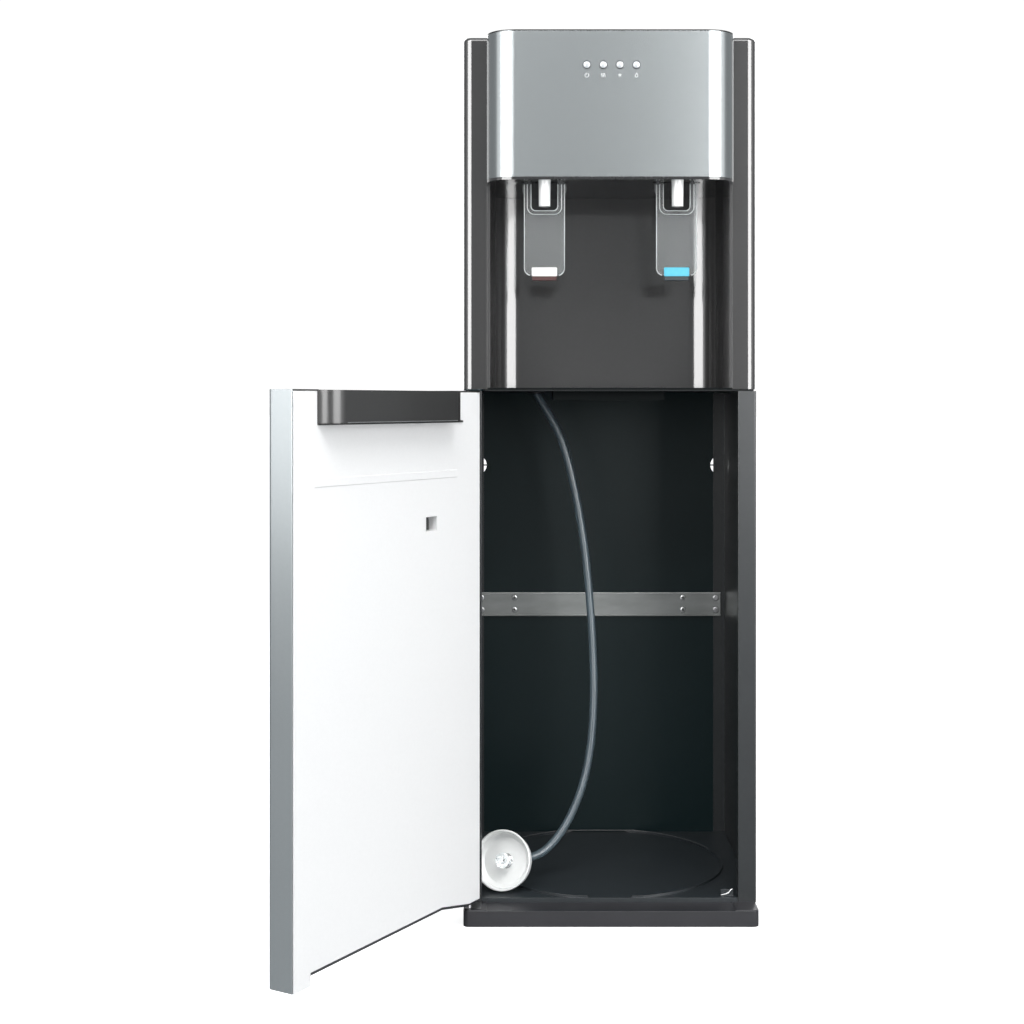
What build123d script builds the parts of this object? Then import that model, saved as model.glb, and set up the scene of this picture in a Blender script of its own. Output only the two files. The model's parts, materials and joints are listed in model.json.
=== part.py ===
from build123d import *
import math
import os

# Floor-standing water dispenser that loads its bottle behind a door at the bottom.
# Millimetres. X to the right, Y to the back, Z up. The origin is on the floor, at the
# centre of the base. The door is modelled closed and then swung to its open stop.

# ---- driving dimensions -------------------------------------------------------------
CABINET_WIDTH = 320.0
BASE_DEPTH = 302.0
OVERALL_HEIGHT = 962.0
FRONT_STEP = 30.0            # the base stands this far in front of the cabinet
CABINET_TOP = 575.5
STEP_HEIGHT = 17.0
FLOOR_TOP = 22.0
SHEET = 1.2                  # folded steel panels
MOULDING = 3.0               # moulded covers
FOOT_R = 14.0
FOOT_HEIGHT = 3.0
FRONT_FLANGE = 20.0
REAR_FLANGE = 15.4
FLANGE_RETURN = 10.0

DECK_THICK = 2.0
UPPER_BOTTOM = CABINET_TOP + DECK_THICK
RECESS_FLOOR = 579.0
CEILING_LOW = 801.5
FASCIA_LOW = 804.5
FASCIA_TOP = 960.5
FASCIA_HALF = 134.0
FASCIA_PROUD = 37.0
FASCIA_CORNER = 30.0
RECESS_DEPTH = 125.0
RECESS_CORNER = 32.0

DOOR_WIDTH = 319.0
DOOR_THICK = 30.0
DOOR_LOW = 23.5
DOOR_HIGH = 575.4
DOOR_GAP = 2.0
DOOR_OPEN = 120.5            # degrees, at the open stop
PIVOT_FROM_EDGE = 6.0
PIVOT_FROM_INNER_FACE = 10.5
PIN_R = 3.0
BRACKET_LOW = 16.5
BRACKET_TOP = 17.8
LOWER_PIN_HIGH = 35.0
UPPER_BRACKET_LOW = 576.0
UPPER_PIN_LOW = 562.0
RUNNING_FIT = 0.05

TAP_X = 71.6
LEVER_Y_FROM_FRAME = -13.0
SPOUT_Y_FROM_FRAME = -25.0
LEVER_WIDTH = 44.5
LEVER_LOW = 700.0
LEVER_AXIS_Z = 808.0
LEVER_THICK = 3.5
LEVER_PIN_R = 2.0

LAMP_PITCH = 17.7
LAMP_Z = 924.0
LAMP_R = 4.0

HOSE_R = 4.5
CAP_R = 33.0                 # rim of the bottle cap
RING_R = 139.0               # ring on the cabinet's floor, round the bottle

# crossbar behind the bottle, and its screws
CROSSBAR_LOW = 294.3
CROSSBAR_HIGH = 323.6
CROSSBAR_HALF = 153.5
CROSSBAR_THICK = 1.5
CROSSBAR_END_X = 147.5
CROSSBAR_BRACKET_X = 106.0
CROSSBAR_HOLES_Z = (302.0, 317.0)
SCREW_R = 2.0
SCREW_HEAD_R = 3.6
KNOCKOUT_X = 153.6           # round knock-outs at the edges of the lower back panel
KNOCKOUT_Z = 484.0
KNOCKOUT_R = 12.4
KNOCKOUT_SLOT = 3.6

# door: distances from its hinge edge and from its inner face
LATCH_SLOT = (84.0, 104.0, 430.5, 445.0)       # near, far, low, high
HANDLE_NEAR = 56.0
HANDLE_FAR = 284.0
HANDLE_LOW = 543.5
HANDLE_BULGE = 20.0
HANDLE_CORNER = 19.5
HANDLE_WALL = 2.0
HANDLE_DEPTH = 26.6
DOOR_FOOT_HIGH = 35.8        # height of the raised stretch of the liner's lower edge
FOOT_WIDTH = 25.0            # the foot that stands below it at the free edge
DOOR_CAP_THICK = 1.6
SKIN_CORNER = 4.0

# drip tray
TRAY_HALF = 60.0
TRAY_WALL = 1.5
TRAY_FIT = 0.6
TRAY_POCKET_LOW = 565.5
TRAY_RIM = 0.9
LEDGE_LOW = 575.4
LEDGE_HIGH = 576.6

# levers
LABEL_HALF = 13.8
LABEL_LOW = 695.0            # the label's lip hangs this low, under the paddle
LABEL_HIGH = 709.4
LABEL_DEPTH = 1.0
WINDOW_HALF = 14.0
WINDOW_LOW = 771.0
RIM_HALF = 18.5
RIM_PROUD = 1.2
RIM_HIGH = 799.0

# taps
SPOUT_TIP_Z = 774.0
SPOUT_TIP_R = 6.15
SPOUT_R = 6.45
TAP_R = 7.0
TAP_BORE_R = 3.4
TAP_HIGH = 836.0
TAP_FEED_Z = 826.0
TAP_FEED_Y = 26.0            # the feed joins this far behind the spout

# back cover and its fittings
LOUVRE_COUNT = 10
LOUVRE_PITCH = 12.0
LOUVRE_LOW = 790.0
LOUVRE_X = 75.0
LOUVRE_HALF = 50.0
SWITCH_X = -80.0
SWITCH_Z = 700.0
SWITCH_PITCH = 26.0
BEZEL_HALF = 27.8
BEZEL_HALF_HEIGHT = 12.8
ROCKER_HALF = 9.3
ROCKER_PIN_R = 1.2
DRAIN_X = -20.0
DRAIN_Z = 602.0
DRAIN_R = 6.0
DRAIN_CAP_R = 10.0
INLET_X = 100.0
INLET_Z = 622.0
INLET_R = 7.0
INLET_BORE_R = 3.6
PIPE_X = 132.0               # where the condenser's pipe goes through the cover
PIPE_Z = 600.0
PIPE_HOLE_R = 4.0

# tanks, compressor and pump
SHELF_LOW = 806.0
SHELF_THICK = 2.0
SHELF_HALF = 156.0
TANK_Y = 80.0
TANK_WALL = 1.5
HOT_TANK_X = -82.0
HOT_TANK_R = 50.0
HOT_TANK_HEIGHT = 128.0
HOT_OUTLET_Y = 14.0
COLD_TANK_X = 74.0
COLD_TANK_R = 56.0
COLD_TANK_HEIGHT = 126.0
FOAM_FLOOR = 8.0
FOAM_WALL = 11.0
FEED_RISE = 18.0             # the hot tank's outlet above the shelf
TUBE_R = 4.0
COMPRESSOR_X = 62.0
COMPRESSOR_Y = 78.0
COMPRESSOR_R = 52.0
COMPRESSOR_HEIGHT = 130.0
MOUNT_HEIGHT = 8.0
PUMP_X = -81.0
PUMP_Y = 89.0
PUMP_HALF = 23.0
PUMP_HEIGHT = 34.0
PUMP_INLET_RISE = 18.0

# condenser on the back
CONDENSER_Y = 164.0
CONDENSER_HALF = 116.0
CONDENSER_LOW = 70.0
CONDENSER_PASSES = 15
CONDENSER_PITCH = 32.0
CONDENSER_TUBE_R = 2.5
CONDENSER_BEND = 12.0
WIRE_R = 0.8
WIRE_COUNT = 13

# ---- places worked out from them ----------------------------------------------------
HALF = CABINET_WIDTH / 2
FRONT = -BASE_DEPTH / 2
BACK = BASE_DEPTH / 2
FRAME = FRONT + FRONT_STEP                  # plane of the cabinet's front flanges
REAR_FLANGE_Y = BACK - 4.0
PANEL_Y = REAR_FLANGE_Y + SHEET             # front of the back panels
PANEL_BACK = PANEL_Y + SHEET
ROCKER_AXIS_Y = PANEL_Y - 2
DRAIN_END = PANEL_BACK + 10
WEB_INNER = HALF - SHEET
RECESS_BACK = FRAME + RECESS_DEPTH
FASCIA_FRONT = FRAME - FASCIA_PROUD
BOARD_FRONT = FASCIA_FRONT + 4
LEVER_Y = FRAME + LEVER_Y_FROM_FRAME
SPOUT_Y = FRAME + SPOUT_Y_FROM_FRAME
DOOR_INNER = FRAME - DOOR_GAP
DOOR_OUTER = DOOR_INNER - DOOR_THICK
DOOR_LEFT = -DOOR_WIDTH / 2
SKIN_INNER = DOOR_OUTER + SHEET
TRAY_FRONT = FRAME + 22                     # clear of the closed door's finger pocket
TRAY_BACK = FRAME + 112
SHELF_TOP = SHELF_LOW + SHELF_THICK
PIVOT_X = DOOR_LEFT + PIVOT_FROM_EDGE
PIVOT_Y = DOOR_INNER - PIVOT_FROM_INNER_FACE
PIVOT = Axis((PIVOT_X, PIVOT_Y, 0), (0, 0, 1))
LOWER_BRACKET_SPAN = (-157.0, -140.0, FRONT + 7, FRAME - 1)       # X and Y limits
UPPER_BRACKET_SPAN = (-HALF + 1, -138.0, FRAME - 20, FRAME + 34)  # X and Y limits

# The hose hangs from its gland in the deck down to the cap that lies on the floor.
HOSE_ROUTE = [
    (-79.0, 29.0, 573.5),
    (-67.5, 29.0, 554.5),
    (-49.0, 28.0, 521.0),
    (-35.5, 24.0, 470.0),
    (-22.0, 17.0, 395.0),
    (-14.0, 7.0, 300.0),
    (-11.5, -5.0, 215.0),
    (-19.0, -17.0, 140.0),
    (-39.0, -30.0, 87.0),
    (-66.0, -43.0, 52.0),
    (-93.0, -56.0, 44.5),
    (-108.0, -70.0, 49.5),
]
GLAND_X, GLAND_Y, GLAND_LOW = HOSE_ROUTE[0]
GLAND_R = 7.0
GLAND_HIGH = 586.0
CAP_CENTRE = Vector(-118.0, -96.0, 55.8)
CAP_FACE = Vector(-0.335, -0.893, 0.30).normalized()


def block(x0, x1, y0, y1, z0, z1):
    """A box between two corners."""
    size = Box(x1 - x0, y1 - y0, z1 - z0)
    return Pos((x0 + x1) / 2, (y0 + y1) / 2, (z0 + z1) / 2) * size


def post(x, y, z0, z1, radius):
    """An upright cylinder."""
    return Pos(x, y, (z0 + z1) / 2) * Cylinder(radius, z1 - z0)


def rod_x(x0, x1, y, z, radius):
    """A cylinder along X."""
    return Pos((x0 + x1) / 2, y, z) * Rot(0, 90, 0) * Cylinder(radius, x1 - x0)


def rod_y(x, y0, y1, z, radius):
    """A cylinder along Y."""
    return Pos(x, (y0 + y1) / 2, z) * Rot(90, 0, 0) * Cylinder(radius, y1 - y0)


def mirrored(shape):
    """The same shape on the other side of the object's middle plane."""
    return mirror(shape, about=Plane.YZ)


def upright_edges(shape, x, y, reach=0.6):
    """The vertical edges of a shape that stand near (x, y)."""
    near = []
    for edge in shape.edges().filter_by(Axis.Z):
        middle = edge.center()
        if abs(middle.X - x) < reach and abs(middle.Y - y) < reach:
            near.append(edge)
    return near


def write(node, shape):
    """Write one sub-part to its STEP file."""
    export_step(shape, "parts/" + node + ".step")


def arc_radii(route):
    """The radius at each corner: as large as the two runs beside it allow."""
    radii = []
    for before, here, after in zip(route, route[1:], route[2:]):
        run_in = Vector(*here) - Vector(*before)
        run_out = Vector(*after) - Vector(*here)
        half_turn = math.radians(run_in.get_angle(run_out)) / 2
        shorter = min(run_in.length, run_out.length)
        radii.append(0.45 * shorter / math.tan(half_turn))
    return radii


def tube(route, radius):
    """A round bar along straight runs joined by tangent arcs."""
    path = FilletPolyline(*route, radius=arc_radii(route))
    section = Plane(path @ 0, z_dir=path % 0) * Circle(radius)
    return sweep(section, path=path), path.length


def bent_tube(route, radius, bend):
    """A rigid pipe whose bends all have the same radius."""
    path = FilletPolyline(*route, radius=bend)
    section = Plane(path @ 0, z_dir=path % 0) * Circle(radius)
    return sweep(section, path=path)


# ---- base and cabinet ---------------------------------------------------------------
def base_plinth():
    half = HALF - 1
    wall = 4.0
    floor_thick = 5.0
    body = block(-half, half, FRONT, BACK, 0, STEP_HEIGHT)
    corners = upright_edges(body, -half, FRONT) + upright_edges(body, half, FRONT)
    body = fillet(corners, 6)
    body -= block(-half + wall, half - wall, FRAME + wall, BACK - wall, floor_thick, STEP_HEIGHT + 1)
    for side in (-1, 1):
        inner = side * (half - 25)
        outer = side * (half - 1)
        near, far = sorted((inner, outer))
        shoulder = block(near, far, FRONT + 1, FRAME, STEP_HEIGHT, BRACKET_TOP)
        shoulder = fillet(upright_edges(shoulder, outer, FRONT + 1), 5)
        body += shoulder
    body -= block(*LOWER_BRACKET_SPAN, BRACKET_LOW, STEP_HEIGHT + 3)
    for x, y in foot_places():
        body -= post(x, y, -1, FOOT_HEIGHT, FOOT_R + 0.2)
    return body


def foot_places():
    """Where the four rubber feet sit in the base."""
    return [(x, y) for x in (-130, 130) for y in (-125, 125)]


def rubber_feet():
    return Compound([post(x, y, 0, FOOT_HEIGHT, FOOT_R) for x, y in foot_places()])


def floor_tray():
    """The cabinet's floor, with the ring that the bottle stands in and a small clip."""
    low = STEP_HEIGHT
    gap = 0.3
    half = WEB_INNER - gap
    return_end = FRAME + FLANGE_RETURN + gap
    plate = block(-half, half, return_end, REAR_FLANGE_Y - gap, low, FLOOR_TOP)
    tongue_half = HALF - FRONT_FLANGE - gap
    plate += block(-tongue_half, tongue_half, FRAME, return_end, low, FLOOR_TOP)
    ring_y = FRAME + 135
    ring_high = FLOOR_TOP + 2.2
    ring = post(0, ring_y, FLOOR_TOP, ring_high, RING_R)
    ring -= post(0, ring_y, FLOOR_TOP - 1, ring_high + 1, RING_R - 3)
    ring &= block(-HALF, HALF, FRAME + 1, REAR_FLANGE_Y - 1, FLOOR_TOP, ring_high)
    clip = block(122, 136, FRAME + 8, FRAME + 11, FLOOR_TOP, FLOOR_TOP + 7)
    return plate + ring + clip


def side_panel():
    """The right-hand panel: a folded channel with a lip along its top."""
    low = STEP_HEIGHT
    web = block(WEB_INNER, HALF, FRAME, PANEL_BACK, low, CABINET_TOP)
    front = block(HALF - FRONT_FLANGE, HALF, FRAME, FRAME + SHEET, low, CABINET_TOP)
    lip_x = HALF - FRONT_FLANGE
    lip = block(lip_x, lip_x + SHEET, FRAME, FRAME + FLANGE_RETURN, low, CABINET_TOP)
    rear = block(HALF - REAR_FLANGE, HALF, REAR_FLANGE_Y, PANEL_Y, low, CABINET_TOP)
    top_front = FRAME + FLANGE_RETURN + 1
    top = block(HALF - 14, HALF, top_front, REAR_FLANGE_Y, CABINET_TOP - SHEET, CABINET_TOP)
    panel = web + front + lip + rear + top
    panel = fillet(upright_edges(panel, HALF, FRAME), 2.0)
    panel = fillet(upright_edges(panel, WEB_INNER, FRAME + SHEET, 0.1), 0.8)
    panel = fillet(upright_edges(panel, lip_x, FRAME), 1.0)
    for z in CROSSBAR_HOLES_Z:
        panel -= rod_y(CROSSBAR_END_X, REAR_FLANGE_Y - 1, PANEL_Y + 1, z, SCREW_R)
    return panel


def lower_back_panel():
    half = WEB_INNER - 0.2
    panel = block(-half, half, PANEL_Y, PANEL_BACK, STEP_HEIGHT, CABINET_TOP)
    front = PANEL_Y - 1
    back = PANEL_BACK + 1
    bridge = 0.8
    for side in (-1, 1):
        x = side * KNOCKOUT_X
        slot = rod_y(x, front, back, KNOCKOUT_Z, KNOCKOUT_R)
        slot -= rod_y(x, front - 1, back + 1, KNOCKOUT_Z, KNOCKOUT_R - KNOCKOUT_SLOT)
        slot -= block(-HALF, HALF, front - 1, back + 1, KNOCKOUT_Z - bridge, KNOCKOUT_Z + bridge)
        panel -= slot
        for z in CROSSBAR_HOLES_Z:
            panel -= rod_y(side * CROSSBAR_END_X, front, back, z, SCREW_R)
            panel -= rod_y(side * CROSSBAR_BRACKET_X, front, back, z, SCREW_R)
    return panel


def rear_crossbar():
    front = REAR_FLANGE_Y - CROSSBAR_THICK
    half = CROSSBAR_HALF
    lip_high = CROSSBAR_LOW + CROSSBAR_THICK
    bar = block(-half, half, front, REAR_FLANGE_Y, CROSSBAR_LOW, CROSSBAR_HIGH)
    bar += block(-half, half, front - 3, REAR_FLANGE_Y, CROSSBAR_LOW, lip_high)
    for side in (-1, 1):
        for x in (CROSSBAR_END_X, CROSSBAR_BRACKET_X):
            for z in CROSSBAR_HOLES_Z:
                bar -= rod_y(side * x, front - 1, REAR_FLANGE_Y + 1, z, SCREW_R)
    return bar


def crossbar_screws():
    """Four pan-head screws that hold the crossbar's ends to the side panels."""
    head_back = REAR_FLANGE_Y - CROSSBAR_THICK
    head_front = head_back - 2
    cross_half = 2.4
    cross_thin = 0.4
    screws = []
    for side in (-1, 1):
        for z in CROSSBAR_HOLES_Z:
            x = side * CROSSBAR_END_X
            screw = rod_y(x, head_front, head_back, z, SCREW_HEAD_R)
            screw = fillet(screw.edges().group_by(Axis.Y)[0], 1.2)
            screw += rod_y(x, head_back, PANEL_BACK + 3, z, SCREW_R)
            for wide, tall in ((cross_half, cross_thin), (cross_thin, cross_half)):
                screw -= block(x - wide, x + wide, head_front - 1, head_front + 1, z - tall, z + tall)
            screws.append(screw)
    return Compound(screws)


# ---- hinge hardware -----------------------------------------------------------------
def lower_hinge_bracket():
    """A plate let into the base, with the door's lower pin."""
    plate = block(*LOWER_BRACKET_SPAN, BRACKET_LOW, BRACKET_TOP)
    return plate + post(PIVOT_X, PIVOT_Y, BRACKET_TOP, LOWER_PIN_HIGH, PIN_R)


def upper_hinge_bracket():
    """A plate under the upper body, with the door's upper pin."""
    left, right, front, back = UPPER_BRACKET_SPAN
    plate = block(left, right, front, back, UPPER_BRACKET_LOW, UPPER_BOTTOM)
    plate = fillet(upright_edges(plate, left, front) + upright_edges(plate, right, front), 6)
    return plate + post(PIVOT_X, PIVOT_Y, UPPER_PIN_LOW, UPPER_BRACKET_LOW, PIN_R)


# ---- deck between the cabinet and the upper body ------------------------------------
def tray_block(outset, z0, z1):
    """A box over the drip tray's outline, grown outwards or shrunk."""
    half = TRAY_HALF + outset
    return block(-half, half, TRAY_FRONT - outset, TRAY_BACK + outset, z0, z1)


def deck_plate():
    """The sheet between the cabinet and the upper body."""
    half = HALF - 2.5
    low = CABINET_TOP
    plate = block(-half, half, FRAME + 2, PANEL_Y, low, UPPER_BOTTOM)
    left, right, front, back = UPPER_BRACKET_SPAN
    plate -= block(left - 1, right + 0.5, front, back + 0.5, low - 1, UPPER_BOTTOM + 1)
    plate -= tray_block(TRAY_WALL + 0.7, low - 1, UPPER_BOTTOM + 1)
    return plate - post(GLAND_X, GLAND_Y, low - 1, UPPER_BOTTOM + 1, GLAND_R)


def upper_base():
    """Floor of the upper body, with the pocket that takes the drip tray."""
    half = FASCIA_HALF - 0.3
    plate = block(-half, half, FRAME + 0.5, PANEL_Y - 0.5, UPPER_BOTTOM, RECESS_FLOOR)
    plate += tray_block(TRAY_WALL, TRAY_POCKET_LOW, RECESS_FLOOR)
    plate -= tray_block(0, TRAY_POCKET_LOW + TRAY_WALL, RECESS_FLOOR + 1)
    return plate - post(GLAND_X, GLAND_Y, UPPER_BOTTOM - 1, RECESS_FLOOR + 1, GLAND_R)


def drip_tray():
    low = TRAY_POCKET_LOW + TRAY_WALL + 0.3
    high = RECESS_FLOOR + TRAY_RIM
    tray = tray_block(-TRAY_FIT, low, high)
    tray += tray_block(4 - TRAY_FIT, RECESS_FLOOR, high)
    tray -= tray_block(-TRAY_FIT - TRAY_WALL, low + TRAY_WALL, high + 1)
    ledge = tray_block(-TRAY_FIT - TRAY_WALL, LEDGE_LOW, LEDGE_HIGH)
    ledge -= tray_block(-TRAY_FIT - 4, LEDGE_LOW - 1, LEDGE_HIGH + 1)
    return tray + ledge


def drip_grille():
    """A slotted plate that drops onto the ledge inside the tray."""
    high = LEDGE_HIGH + 2
    plate = tray_block(-TRAY_FIT - TRAY_WALL - 1.3, LEDGE_HIGH, high)
    slot_pitch = 8.0
    slot_half = 2.1
    slot_reach = 24
    rows = 9
    middle = (TRAY_FRONT + TRAY_BACK) / 2
    for row in range(rows):
        y = middle + (row - (rows - 1) / 2) * slot_pitch
        for x in (-27, 27):
            near = x - slot_reach
            far = x + slot_reach
            plate -= block(near, far, y - slot_half, y + slot_half, LEDGE_HIGH - 1, high + 1)
    return plate


# ---- covers of the upper body -------------------------------------------------------
def upper_shell():
    """The right-hand cover: a tall moulding with rounded front and top edges."""
    front_r = 9.0
    top_r = 4.5
    body = block(FASCIA_HALF, HALF, FRAME, PANEL_BACK, UPPER_BOTTOM, OVERALL_HEIGHT)
    body = fillet(upright_edges(body, HALF, FRAME), front_r)
    top_edges = []
    for edge in body.edges():
        middle = edge.center()
        if middle.Z > OVERALL_HEIGHT - 0.1 and middle.X > FASCIA_HALF + 1 and middle.Y < BACK - 10:
            top_edges.append(edge)
    body = fillet(top_edges, top_r)
    wall = MOULDING
    low = UPPER_BOTTOM - 1
    inner_top = OVERALL_HEIGHT - wall
    hollow = block(FASCIA_HALF + wall, HALF - wall, FRAME + wall, PANEL_Y, low, inner_top)
    hollow = fillet(upright_edges(hollow, HALF - wall, FRAME + wall), front_r - wall)
    body -= hollow
    past = FASCIA_HALF + wall + 1
    body -= block(FASCIA_HALF - 1, past, FRAME + 12, PANEL_BACK + 1, low, inner_top)
    body -= block(FASCIA_HALF - 1, HALF - wall, PANEL_Y - 1, PANEL_BACK + 1, low, inner_top)
    return body


def lobe(half, front, back, corner, z0, z1):
    """An upright block whose two front corners are rounded."""
    body = block(-half, half, front, back, z0, z1)
    corners = upright_edges(body, -half, front) + upright_edges(body, half, front)
    return fillet(corners, corner)


def lamp_places():
    """X of each of the four indicator lamps."""
    return [(index - 1.5) * LAMP_PITCH for index in range(4)]


def fascia():
    wall = 2.5
    back = FRAME + 11
    shell = lobe(FASCIA_HALF, FASCIA_FRONT, back, FASCIA_CORNER, FASCIA_LOW, FASCIA_TOP)
    inner_half = FASCIA_HALF - wall
    inner_front = FASCIA_FRONT + wall
    inner_corner = FASCIA_CORNER - wall
    shell -= lobe(inner_half, inner_front, back + 1, inner_corner, FASCIA_LOW - 1, FASCIA_TOP + 1)
    for x in lamp_places():
        shell -= rod_y(x, FASCIA_FRONT - 1, FASCIA_FRONT + wall + 1, LAMP_Z, LAMP_R)
    return shell


def rim_lobe(inset, z0, z1):
    """The top cover's outline, moved inwards."""
    half = FASCIA_HALF - inset
    return lobe(half, FASCIA_FRONT + inset, PANEL_Y - inset, FASCIA_CORNER - inset, z0, z1)


def top_cover():
    """A lid with a rim that locates it inside the fascia."""
    half = FASCIA_HALF - 0.1
    plate = lobe(half, FASCIA_FRONT, PANEL_BACK, FASCIA_CORNER, FASCIA_TOP, OVERALL_HEIGHT)
    rim_low = FASCIA_TOP - 4
    return plate + rim_lobe(3, rim_low, FASCIA_TOP) - rim_lobe(5.5, rim_low - 1, FASCIA_TOP)


def ceiling_panel():
    """Closes the fascia from below and roofs the recess; carries the lever pins."""
    low = CEILING_LOW
    back = RECESS_BACK + MOULDING
    panel = lobe(FASCIA_HALF - 0.2, FASCIA_FRONT, back, FASCIA_CORNER, low, FASCIA_LOW)
    slot_half = 25.5
    lug_offset = 27.5
    lug_half = 2.0
    lug_reach = 5.0
    lug_high = LEVER_AXIS_Z + lug_reach
    for side in (-1, 1):
        x = side * TAP_X
        panel -= block(x - slot_half, x + slot_half, LEVER_Y - 4.5, LEVER_Y + 6, low - 1, FASCIA_LOW + 1)
        panel -= post(x, SPOUT_Y, low - 1, FASCIA_LOW + 1, TAP_R)
        for end in (-1, 1):
            lug_x = x + end * lug_offset
            near = lug_x - lug_half
            far = lug_x + lug_half
            panel += block(near, far, LEVER_Y - lug_reach, LEVER_Y + lug_reach, FASCIA_LOW, lug_high)
            panel -= rod_x(near - 1, far + 1, LEVER_Y, LEVER_AXIS_Z, LEVER_PIN_R)
    return panel


def recess_liner():
    """The tall moulding behind the taps, with rounded back corners."""
    wall = MOULDING
    half = FASCIA_HALF - 0.1
    outer = block(-half, half, FRAME, RECESS_BACK + wall, RECESS_FLOOR, CEILING_LOW)
    back_y = RECESS_BACK + wall
    corners = upright_edges(outer, -half, back_y) + upright_edges(outer, half, back_y)
    outer = fillet(corners, RECESS_CORNER + wall)
    inside = half - wall
    inner = block(-inside, inside, FRAME - 1, RECESS_BACK, RECESS_FLOOR - 1, CEILING_LOW + 1)
    corners = upright_edges(inner, -inside, RECESS_BACK) + upright_edges(inner, inside, RECESS_BACK)
    return outer - fillet(corners, RECESS_CORNER)


def upper_back_cover():
    gap = 0.2
    half = HALF - MOULDING - gap
    front = PANEL_Y - 1
    back = PANEL_BACK + 1
    cover = block(-half, half, PANEL_Y, PANEL_BACK, UPPER_BOTTOM, OVERALL_HEIGHT - MOULDING - gap)
    slot_half = 2.5
    for column in (-LOUVRE_X, LOUVRE_X):
        for row in range(LOUVRE_COUNT):
            z = LOUVRE_LOW + row * LOUVRE_PITCH
            near = column - LOUVRE_HALF
            slot = block(near, column + LOUVRE_HALF, front, back, z - slot_half, z + slot_half)
            cover -= fillet(slot.edges().filter_by(Axis.Y), 2.4)
    wide = BEZEL_HALF + gap
    tall = BEZEL_HALF_HEIGHT + gap
    cover -= block(SWITCH_X - wide, SWITCH_X + wide, front, back, SWITCH_Z - tall, SWITCH_Z + tall)
    cover -= rod_y(DRAIN_X, front, back, DRAIN_Z, DRAIN_R)
    cover -= rod_y(INLET_X, front, back, INLET_Z, INLET_R)
    for side in (-1, 1):
        cover -= rod_y(side * PIPE_X, front, back, PIPE_Z, PIPE_HOLE_R)
    return cover


# ---- indicator lamps ----------------------------------------------------------------
def indicator_lenses():
    """Four clear domes, pushed into the fascia from behind."""
    lenses = []
    for x in lamp_places():
        seat = FASCIA_FRONT + 2.5
        lens = rod_y(x, FASCIA_FRONT - 0.9, seat, LAMP_Z, LAMP_R - 0.4)
        lens = fillet(lens.edges().group_by(Axis.Y)[0], 0.8)
        lens += rod_y(x, seat, BOARD_FRONT, LAMP_Z, LAMP_R + 1)
        lenses.append(lens)
    return Compound(lenses)


def indicator_board():
    """The lamps' circuit board and the block of parts on its back."""
    board_back = BOARD_FRONT + 1.6
    board = block(-38, 38, BOARD_FRONT, board_back, LAMP_Z - 10, LAMP_Z + 10)
    return board + block(-12, 12, board_back, board_back + 5.4, LAMP_Z - 6, LAMP_Z + 6)


# ---- taps and levers ----------------------------------------------------------------
def spout(x):
    nozzle = Cone(SPOUT_TIP_R, SPOUT_R, CEILING_LOW - SPOUT_TIP_Z)
    nozzle = Pos(x, SPOUT_Y, (SPOUT_TIP_Z + CEILING_LOW) / 2) * nozzle
    nozzle += post(x, SPOUT_Y, CEILING_LOW, FASCIA_LOW, TAP_R)
    return nozzle - post(x, SPOUT_Y, SPOUT_TIP_Z - 1, FASCIA_LOW + 1, TAP_BORE_R)


def tap_body(x):
    """The valve above a spout, with its feed coming in from behind."""
    feed_end = SPOUT_Y + TAP_FEED_Y
    body = post(x, SPOUT_Y, FASCIA_LOW, TAP_HIGH, TAP_R)
    body += rod_y(x, SPOUT_Y, feed_end, TAP_FEED_Z, 5)
    body += post(x, SPOUT_Y, TAP_HIGH, TAP_HIGH + 14, 4)
    body -= post(x, SPOUT_Y, FASCIA_LOW - 1, TAP_FEED_Z, TAP_BORE_R)
    return body - rod_y(x, SPOUT_Y, feed_end + 1, TAP_FEED_Z, 3)


def rounded_below(shape, radius):
    """A plate that faces the front, with its two lower corners rounded."""
    along = shape.edges().filter_by(Axis.Y)
    return fillet(along.group_by(Axis.Z)[0], radius)


def lever(x):
    """A clear paddle with a U-shaped window, hung from two eyes on its pin."""
    half = LEVER_WIDTH / 2
    front = LEVER_Y - LEVER_THICK / 2
    back = LEVER_Y + LEVER_THICK / 2
    paddle = rounded_below(block(x - half, x + half, front, back, LEVER_LOW, LEVER_AXIS_Z), 8)
    rim_low = WINDOW_LOW - RIM_HALF + WINDOW_HALF
    rim_front = front - RIM_PROUD
    rim_back = back + RIM_PROUD
    rim = block(x - RIM_HALF, x + RIM_HALF, rim_front, rim_back, rim_low, RIM_HIGH)
    paddle += rounded_below(rim, 8)
    for side in (-1, 1):
        ear = x + side * (half - 5)
        paddle += rod_x(ear - 5, ear + 5, LEVER_Y, LEVER_AXIS_Z, 4.5)
        flare = x + side * (half - 1)
        paddle += block(flare - 2.5, flare + 2.5, front, back, RIM_HIGH - 9, RIM_HIGH + 1)
    window_high = LEVER_AXIS_Z + 10
    window = block(x - WINDOW_HALF, x + WINDOW_HALF, rim_front - 1, rim_back + 1, WINDOW_LOW, window_high)
    paddle -= rounded_below(window, 5)
    paddle -= rod_x(x - half - 5, x + half + 5, LEVER_Y, LEVER_AXIS_Z, LEVER_PIN_R + RUNNING_FIT)
    near = x - LABEL_HALF
    far = x + LABEL_HALF
    return paddle - block(near, far, front - 1, front + LABEL_DEPTH, LEVER_LOW - 1, LABEL_HIGH)


def lever_label(x):
    """A coloured insert in the paddle's face, with a lip under its lower edge."""
    front = LEVER_Y - LEVER_THICK / 2
    near = x - LABEL_HALF
    far = x + LABEL_HALF
    face = block(near, far, front, front + LABEL_DEPTH, LEVER_LOW, LABEL_HIGH)
    return face + block(near, far, front, front + LEVER_THICK, LABEL_LOW, LEVER_LOW)


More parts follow.
